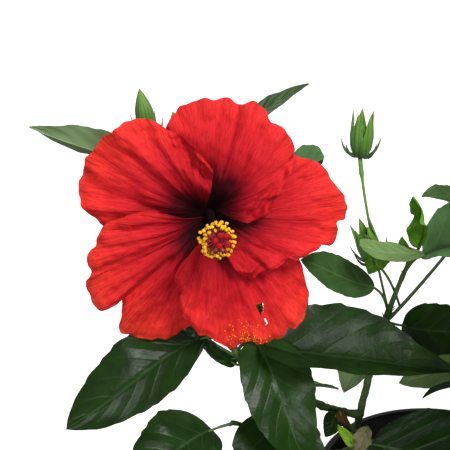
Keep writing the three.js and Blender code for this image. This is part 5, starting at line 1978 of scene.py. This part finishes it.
@dataclass
class StaminalColumn:
    """The staminal column: a tube with threads that end in anthers round five styles."""

    length: float = 60.0
    droop: float = 4.0
    radii: Pair = (2.4, 1.7)
    threads: int = 72
    brush_from: float = 0.84
    brush: float = 6.7
    thread_radius: float = 0.18
    anther: float = 1.9
    style_radius: float = 0.42
    pad_radius: float = 1.75
    pads: tuple[Point, ...] = (
        (3.9, 4.4, 3.5), (4.2, 0.9, 5.0), (0.2, 0.1, 4.2), (-1.6, 2.7, 5.2), (0.9, 4.9, 4.6),
    )

    def build(self) -> None:
        """Builds the column's tube, threads, anthers and stigmas in place of their solid.

        The stigma pads stand at their own places to the right, top and front of the tube's end.
        """
        right, top, out = SEAT.directions()
        tip = SEAT.along(self.length) - top * self.droop
        path = Path.through(SEAT.along(0.3), SEAT.along(self.length / 2), tip)
        tube, reds, pollen, stigmas = Skin(), Skin(), Skin(), Skin()
        shares = np.linspace(0, 1, 30)
        radii = mix(self.radii, shares) * (1 - 0.35 * ease(0.93, 1.0, shares))
        tube.add(closed_rings(path, radii, 16))
        draw = np.random.default_rng(3)
        for i in range(self.threads):
            share = mix((self.brush_from, 1.0), (i + 0.5) / self.threads)
            ray = SEAT.ray(np.array(i * GOLDEN_ANGLE))
            foot = path.at(share - 0.02)
            reach = self.brush * (draw.uniform(0.92, 1.24) if i % 5 else draw.uniform(0.7, 0.95))
            end = foot + ray * reach + out * draw.uniform(0.5, 3.5)
            line = Path.through(foot, foot + ray * reach * 0.6 - out * 0.5, end)
            reds.add(closed_rings(line, np.full(5, self.thread_radius), 4))
            self.add_anther(pollen, end, ray, draw)
        for to_right, to_top, lift in self.pads:
            end = tip + right * to_right + top * to_top + out * lift
            style = Path.through(tip, mix((tip, end), 0.5) - out * 0.6, end)
            reds.add(closed_rings(style, np.full(6, self.style_radius), 6))
            cap = Path.through(end - out * 1.2, end, end + out * 1.2)
            bulge = np.sin(np.linspace(0.25, np.pi - 0.25, 9)) ** 0.7
            stigmas.add(closed_rings(cap, self.pad_radius * bulge, 12))
        rows = (
            (tube, "bloom_column_tube", ("column_flesh", "#1c0306", "#0c0103", 1.5, "#200408", 0.04)),
            (reds, "bloom_filaments", ("filament_flesh", "#b03c46", "#641019", 1.5, "#ff9a9a", 0.1)),
            (pollen, "bloom_anthers", ("pollen_heads", "#f9c51e", "#c8860c", 0.7, "#ffe890")),
            (stigmas, "bloom_stigmas", ("stigma_velvet", "#b00a18", "#56020a", 0.5, "#ff5050")),
        )
        for skin, name, finish in rows:
            piece = skin.piece(name, [GrainFinish(*finish).build()])

            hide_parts("bloom_column")

    def add_anther(self, skin: Skin, end: Array, ray: Array, draw: np.random.Generator) -> None:
        """Adds one kidney-shaped anther at a thread's end: a short bent sausage.

        Args:
            skin: What the form is added to.
            end: The thread's end.
            ray: The way out from the column's axis.
            draw: The column's random numbers.
        """

        way = unit(np.cross(ray, unit(draw.normal(size=3))) + draw.normal(size=3) * 0.4)
        half = self.anther * draw.uniform(0.42, 0.6)
        bend = ray * self.anther * 0.45
        path = Path.through(end - way * half, end + bend, end + way * half)
        radii = np.array([0.35, 0.78, 0.92, 0.78, 0.35]) * self.anther * 0.5
        skin.add(closed_rings(path, radii, 6))


@dataclass
class BloomCalyx:
    """The bloom's calyx, its bracts and the long jointed stalk that lifts it off its twig."""

    growth: Growth
    calyx: Material
    bark: Material
    foot: float = -21.3
    tip: float = 3.0
    radius: float = 7.0
    stalk_rise: float = 30.0
    root: float = 0.3

    def build(self) -> None:
        """Builds the calyx, which is part of the bloom's mass of foliage."""
        skin = Skin()
        maker = BudMaker(bracts=7)
        low, out = SEAT.along(self.foot), SEAT.directions()[2]
        maker.cup(skin, low, SEAT.along(self.tip), self.radius, 0.62, 0.12)
        maker.star(skin, low + out, out, 6.0, 9.5, 9.0, seed=5)
        root = self.growth.shoots["foliage_bloom"][0].path.at(self.root)
        bends = root + UP * self.stalk_rise, SEAT.along(self.foot - self.stalk_rise)
        maker.jointed_stalk(skin, Path.through(root, *bends, low + out * 2), (1.4, 1.6))
        piece = skin.piece("foliage_bloom_calyx", [self.calyx, self.bark])
        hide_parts("foliage_bloom")


@dataclass(frozen=True)
class PotFinish:
    """Black polypropylene, injection moulded: a glossy skin with a faint orange peel.

    It gives sharp white glints along the lip, dulled a little by fine scuffs and dust.
    """

    black: str = "#08090a"
    dust: str = "#3a3733"
    peel_mm: float = 1.4
    scuff_mm: float = 14.0

    def build(self) -> Material:
        """Makes the material."""
        material, add = new_material("black_moulded_polypropylene")
        spot = add("TexCoord").outputs["Object"]
        scuff = add(
            "TexNoise", {"Vector": spot, "Scale": 1 / (self.scuff_mm * MM), "Detail": 6.0, "Roughness": 0.7}
        )
        dusty = add("MapRange", (scuff, 0.55, 0.75, 0.0, 0.35))
        colour = add("Mix", {0: dusty, 6: linear(self.black), 7: linear(self.dust)}, data_type="RGBA")
        gloss = add("MapRange", {"Value": scuff, "To Min": 0.12, "To Max": 0.42})
        peel = add("TexNoise", {"Vector": spot, "Scale": 1 / (self.peel_mm * MM)})
        relief = add("Bump", {"Height": peel, "Strength": 0.12, "Distance": 0.3 * MM})
        finish_material(add, {"Base Color": colour, "Roughness": gloss, "IOR": 1.49, "Normal": relief})
        return material


@dataclass(frozen=True)
class SoilFinish:
    """Damp potting mix of peat and composted bark, with pale grains of perlite.

    Peat gives a dark matt crumb, bark chips a redder brown, and perlite small white points. The
    tone deals the colours out by crumb: 0 is peat, a half is bark and 1 is perlite.
    """

    peat: str = "#2c1e15"
    bark: str = "#5a3a22"
    perlite: str = "#d9d4c8"
    crumb_mm: float = 3.0

    def build(self) -> Material:
        """Makes the material."""
        material, add = new_material("potting_mix")
        spot = add("TexCoord").outputs["Object"]
        crumb = add("TexNoise", {"Vector": spot, "Scale": 1 / (self.crumb_mm * MM), "Detail": 5.0})
        tone = add("Attribute", attribute_name="tone").outputs["Fac"]
        shade = add("Math", (crumb, 0.3, tone), operation="MULTIPLY_ADD")
        colour = add(
            "ValToRGB", (shade,),
            stops=((0.08, self.peat), (0.6, self.bark), (0.85, self.bark), (0.95, self.perlite)),
        )
        relief = add("Bump", {"Height": crumb, "Strength": 0.8, "Distance": 1.5 * MM})
        finish_material(add, {"Base Color": colour, "Roughness": 0.92, "Normal": relief})
        return material


@dataclass
class NurseryPot:
    """The round black pot: a thin tapered wall with a turned-over lip and a flat drained foot."""

    rim: float = 70.0
    height: float = 115.0
    foot: float = 50.0
    wall: float = 1.8
    lip_depth: float = 9.0
    lip_out: float = 3.0
    roll: float = 1.6
    middle: float = 20.0
    sides: int = 144
    drain_ring: float = 38.0
    drain_radius: float = 4.5
    drains: int = 6

    def profile(self) -> Array:
        """Gives the wall's outline, as radii and heights, from the foot's middle round to inside.

        The outer wall is straight from the foot to the neck, with two shallow bands, and the lip
        is turned over in a quarter round. The inner wall runs parallel to it.

        Returns:
            The outline in millimetres.
        """
        neck = self.rim - self.lip_out
        up = np.linspace(0.03, 0.97, 60)
        band = 0.45 * (np.exp(-(((up - 0.62) / 0.012) ** 2)) + np.exp(-(((up - 0.7) / 0.012) ** 2)))
        lip = self.height - self.lip_depth
        outer = np.stack([self.foot + (neck - self.foot) * up + band, lip * up], axis=-1)
        turn = np.linspace(0, np.pi / 2, 7)
        roll, rim = self.roll, self.rim
        rolled = [rim - roll + roll * np.cos(turn), self.height - roll + roll * np.sin(turn)]
        under = [[neck + 0.1, lip], [rim - 0.9, lip], [rim - 0.35, lip + 0.3], [rim, lip + 1.2]]
        thin = neck - self.wall
        inner = [[thin + 0.8, self.height], [thin, self.height - 0.9]]
        inside = self.foot - self.wall
        low = [[inside + 0.4, self.wall + 1.2], [inside - 0.8, self.wall], [self.middle, self.wall]]
        heel = [[self.middle, 0.0], [self.foot - 0.9, 0.0], [self.foot - 0.2, 0.3], [self.foot + 0.1, 1.0]]
        parts = [heel, outer, under, np.transpose(rolled), inner, low]
        return np.concatenate([np.array(part, float) for part in parts])

    def build(self) -> None:
        """Builds the pot in place of its solid, and cuts its drain holes."""
        skin = Skin()
        skin.add(turned(self.profile(), self.sides))
        piece = skin.piece("pot_moulded", [PotFinish().build()], sharp=35)
        self.cut_drains(piece)
        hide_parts("pot")

    def cut_drains(self, piece: bpy.types.Object) -> None:
        """Cuts a ring of round drain holes through the foot, and applies the cut.

        Args:
            piece: The pot.
        """
        cutters = Skin()
        for i in range(self.drains):
            x, y = polar((i + 0.5) / self.drains * 360, self.drain_ring)
            path = Path.through((x, y, -3), (x, y, 6))
            cutters.add(closed_rings(path, np.full(2, self.drain_radius), 20))
        cutter = cutters.piece("drain_cutters", [])
        cut = piece.modifiers.new("drains", "BOOLEAN")
        cut.object = cutter
        cut.operation = "DIFFERENCE"
        cut.solver = "EXACT"
        view = bpy.context.evaluated_depsgraph_get()
        cut_mesh = bpy.data.meshes.new_from_object(piece.evaluated_get(view))
        piece.modifiers.clear()
        piece.data = cut_mesh
        bpy.data.objects.remove(cutter)


@dataclass
class PottingSoil:
    """The plug of potting mix, with a rough crown of crumbs, bark chips and perlite."""

    top: float = 103.0
    low: float = 2.2
    inside: Pair = (47.8, 61.8)
    crumbs: int = 420
    spread: float = 58.0

    def build(self) -> None:
        """Builds the soil and its crumbs in place of their solid."""
        skin = Skin()
        up = np.linspace(0, 1, 12)
        side = np.stack([mix(self.inside, up), mix((self.low, self.top - 2.5), up)], axis=-1)
        across = np.linspace(1, 0.02, 34)[:, None]
        crown = np.concatenate([self.inside[1] * across, self.top - 1.8 * across**6], axis=1)
        rings = turned(np.concatenate([side, crown[1:]]), 96)
        uneven = 0.9 * swell(rings, 22.0, 1) + 0.6 * swell(rings, 8.0, 2) - 0.4
        rings[len(up) :, :, 2] += uneven[len(up) :]
        skin.add(rings, tone=0.1)
        draw = np.random.default_rng(9)
        for _ in range(self.crumbs):
            self.crumb(skin, draw)
        piece = skin.piece("soil_potting_mix", [SoilFinish().build()], sharp=60)
        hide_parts("soil")

    def crumb(self, skin: Skin, draw: np.random.Generator) -> None:
        """Adds one crumb: a short stick of bark or a grain of peat or perlite.

        Args:
            skin: What the form is added to.
            draw: The soil's random numbers.
        """

        kind = draw.choice([0.0, 0.35, 0.5, 1.0], p=[0.35, 0.25, 0.25, 0.15])
        reach, turn = self.spread * math.sqrt(draw.uniform(0.0, 1.0)), draw.uniform(0, 2 * math.pi)
        height = self.top + draw.uniform(-0.6, 0.7)
        middle = np.array([reach * math.cos(turn), reach * math.sin(turn), height])
        way = unit(draw.normal(size=3) * [1, 1, 0.35])
        half = draw.uniform(1.0, 2.0) if kind in (0.0, 1.0) else draw.uniform(1.8, 4.5)
        path = Path.through(middle - way * half, middle + way * half)
        radii = np.array([0.45, 0.9, 1.0, 0.8, 0.4]) * draw.uniform(0.6, 1.5)
        skin.add(closed_rings(path, radii, 6), tone=kind)


@dataclass
class Studio:
    """A plain pale floor, soft studio light and the photograph's camera."""

    place: Point = (-0.1234, -0.5935, 0.5351)
    pitch: float = 66.0
    lens: float = 99.36
    floor_half: float = 14.0
    lit: Point = (-0.05, 0.0, 0.2)


    def build(self) -> None:
        """Builds the floor, the light and the camera."""
        scene = bpy.context.scene
        scene.view_settings.view_transform = "Standard"
        camera = bpy.data.cameras.new("photo_view")
        camera.lens = self.lens
        camera.sensor_width = 36.0
        camera.clip_end = 60.0
        holder = bpy.data.objects.new("photo_view", camera)
        holder.location = self.place
        holder.rotation_euler = (math.radians(self.pitch), 0.0, 0.0)
        scene.collection.objects.link(holder)
        scene.camera = holder
        self.floor()
        self.sky()
        self.panel("key_panel", (0.4, -0.85, 1.35), 0.4, 21.0)
        self.panel("back_panel", (0.5, 0.8, 1.4), 0.6, 7.0)
        self.panel("rear_left_panel", (-0.9, 0.7, 0.9), 0.6, 7.0)
        self.panel("front_panel", (-0.2, -1.5, 0.6), 0.5, 12.5)

    def floor(self) -> None:
        """Builds the floor as a wide flat square of white acrylic that is lit from below.

        It stays evenly pale out to the horizon, and throws no light of its own on the plant.
        """
        half = self.floor_half
        mesh = bpy.data.meshes.new("floor")
        corners = [(-half, -half, 0), (half, -half, 0), (half, half, 0), (-half, half, 0)]
        mesh.from_pydata(corners, [], [(0, 1, 2, 3)])
        material, add = new_material("white_lit_acrylic")
        white = linear("#f7f7f5")
        finish_material(
            add, {"Base Color": white, "Roughness": 0.85, "Emission Color": white, "Emission Strength": 0.55}
        )
        mesh.materials.append(material)
        floor = bpy.data.objects.new("floor", mesh)
        floor.visible_diffuse = False
        floor.visible_glossy = False
        bpy.context.scene.collection.objects.link(floor)

    def sky(self) -> None:
        """Lights the scene with a plain white that is weak overhead and weaker at the horizon."""
        world = bpy.data.worlds.new("soft_white")
        add = empty_tree(world)
        way = add("TexCoord").outputs["Generated"]
        parts = add("SeparateXYZ", (way,))
        strength = add("MapRange", (parts.outputs["Z"], -0.1, 0.9, 0.12, 0.36))
        shine = add("Background", {"Color": (1.0, 1.0, 1.0, 1.0), "Strength": strength})
        add("OutputWorld", {"Surface": shine})
        bpy.context.scene.world = world

    def panel(self, name: str, place: Point, size: float, power: float) -> None:
        """Adds a square soft light that looks at the plant.

        Args:
            name: Its name.
            place: Where it stands, in metres.
            size: Its side, in metres.
            power: Its power, in watts.
        """
        light = bpy.data.lights.new(name, "AREA")
        light.size = size
        light.energy = power
        holder = bpy.data.objects.new(name, light)
        holder.location = place
        aim, _ = measured(np.subtract(self.lit, place))
        yaw = math.atan2(aim[1], aim[0])
        tilt = math.acos(-aim[2])
        holder.rotation_euler = (tilt, 0.0, yaw - math.pi / 2)
        bpy.context.scene.collection.objects.link(holder)


def main() -> None:
    """Builds the plant, its pot and the studio, in order, and notes the sizes."""
    logging.basicConfig(level=logging.INFO, format="%(name)s: %(message)s", stream=sys.stdout)
    Studio().build()
    growth = Growth()
    growth.grow()
    bark, calyx = BarkFinish().build(), CalyxFinish().build()
    NurseryPot().build()
    PottingSoil().build()
    Limbs(growth, bark).build()
    Foliage(growth, bark, calyx).build()
    BloomCalyx(growth, calyx, bark).build()
    BloomPetals().build()
    StaminalColumn().build()
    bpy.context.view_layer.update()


if __name__ == "__main__":
    main()
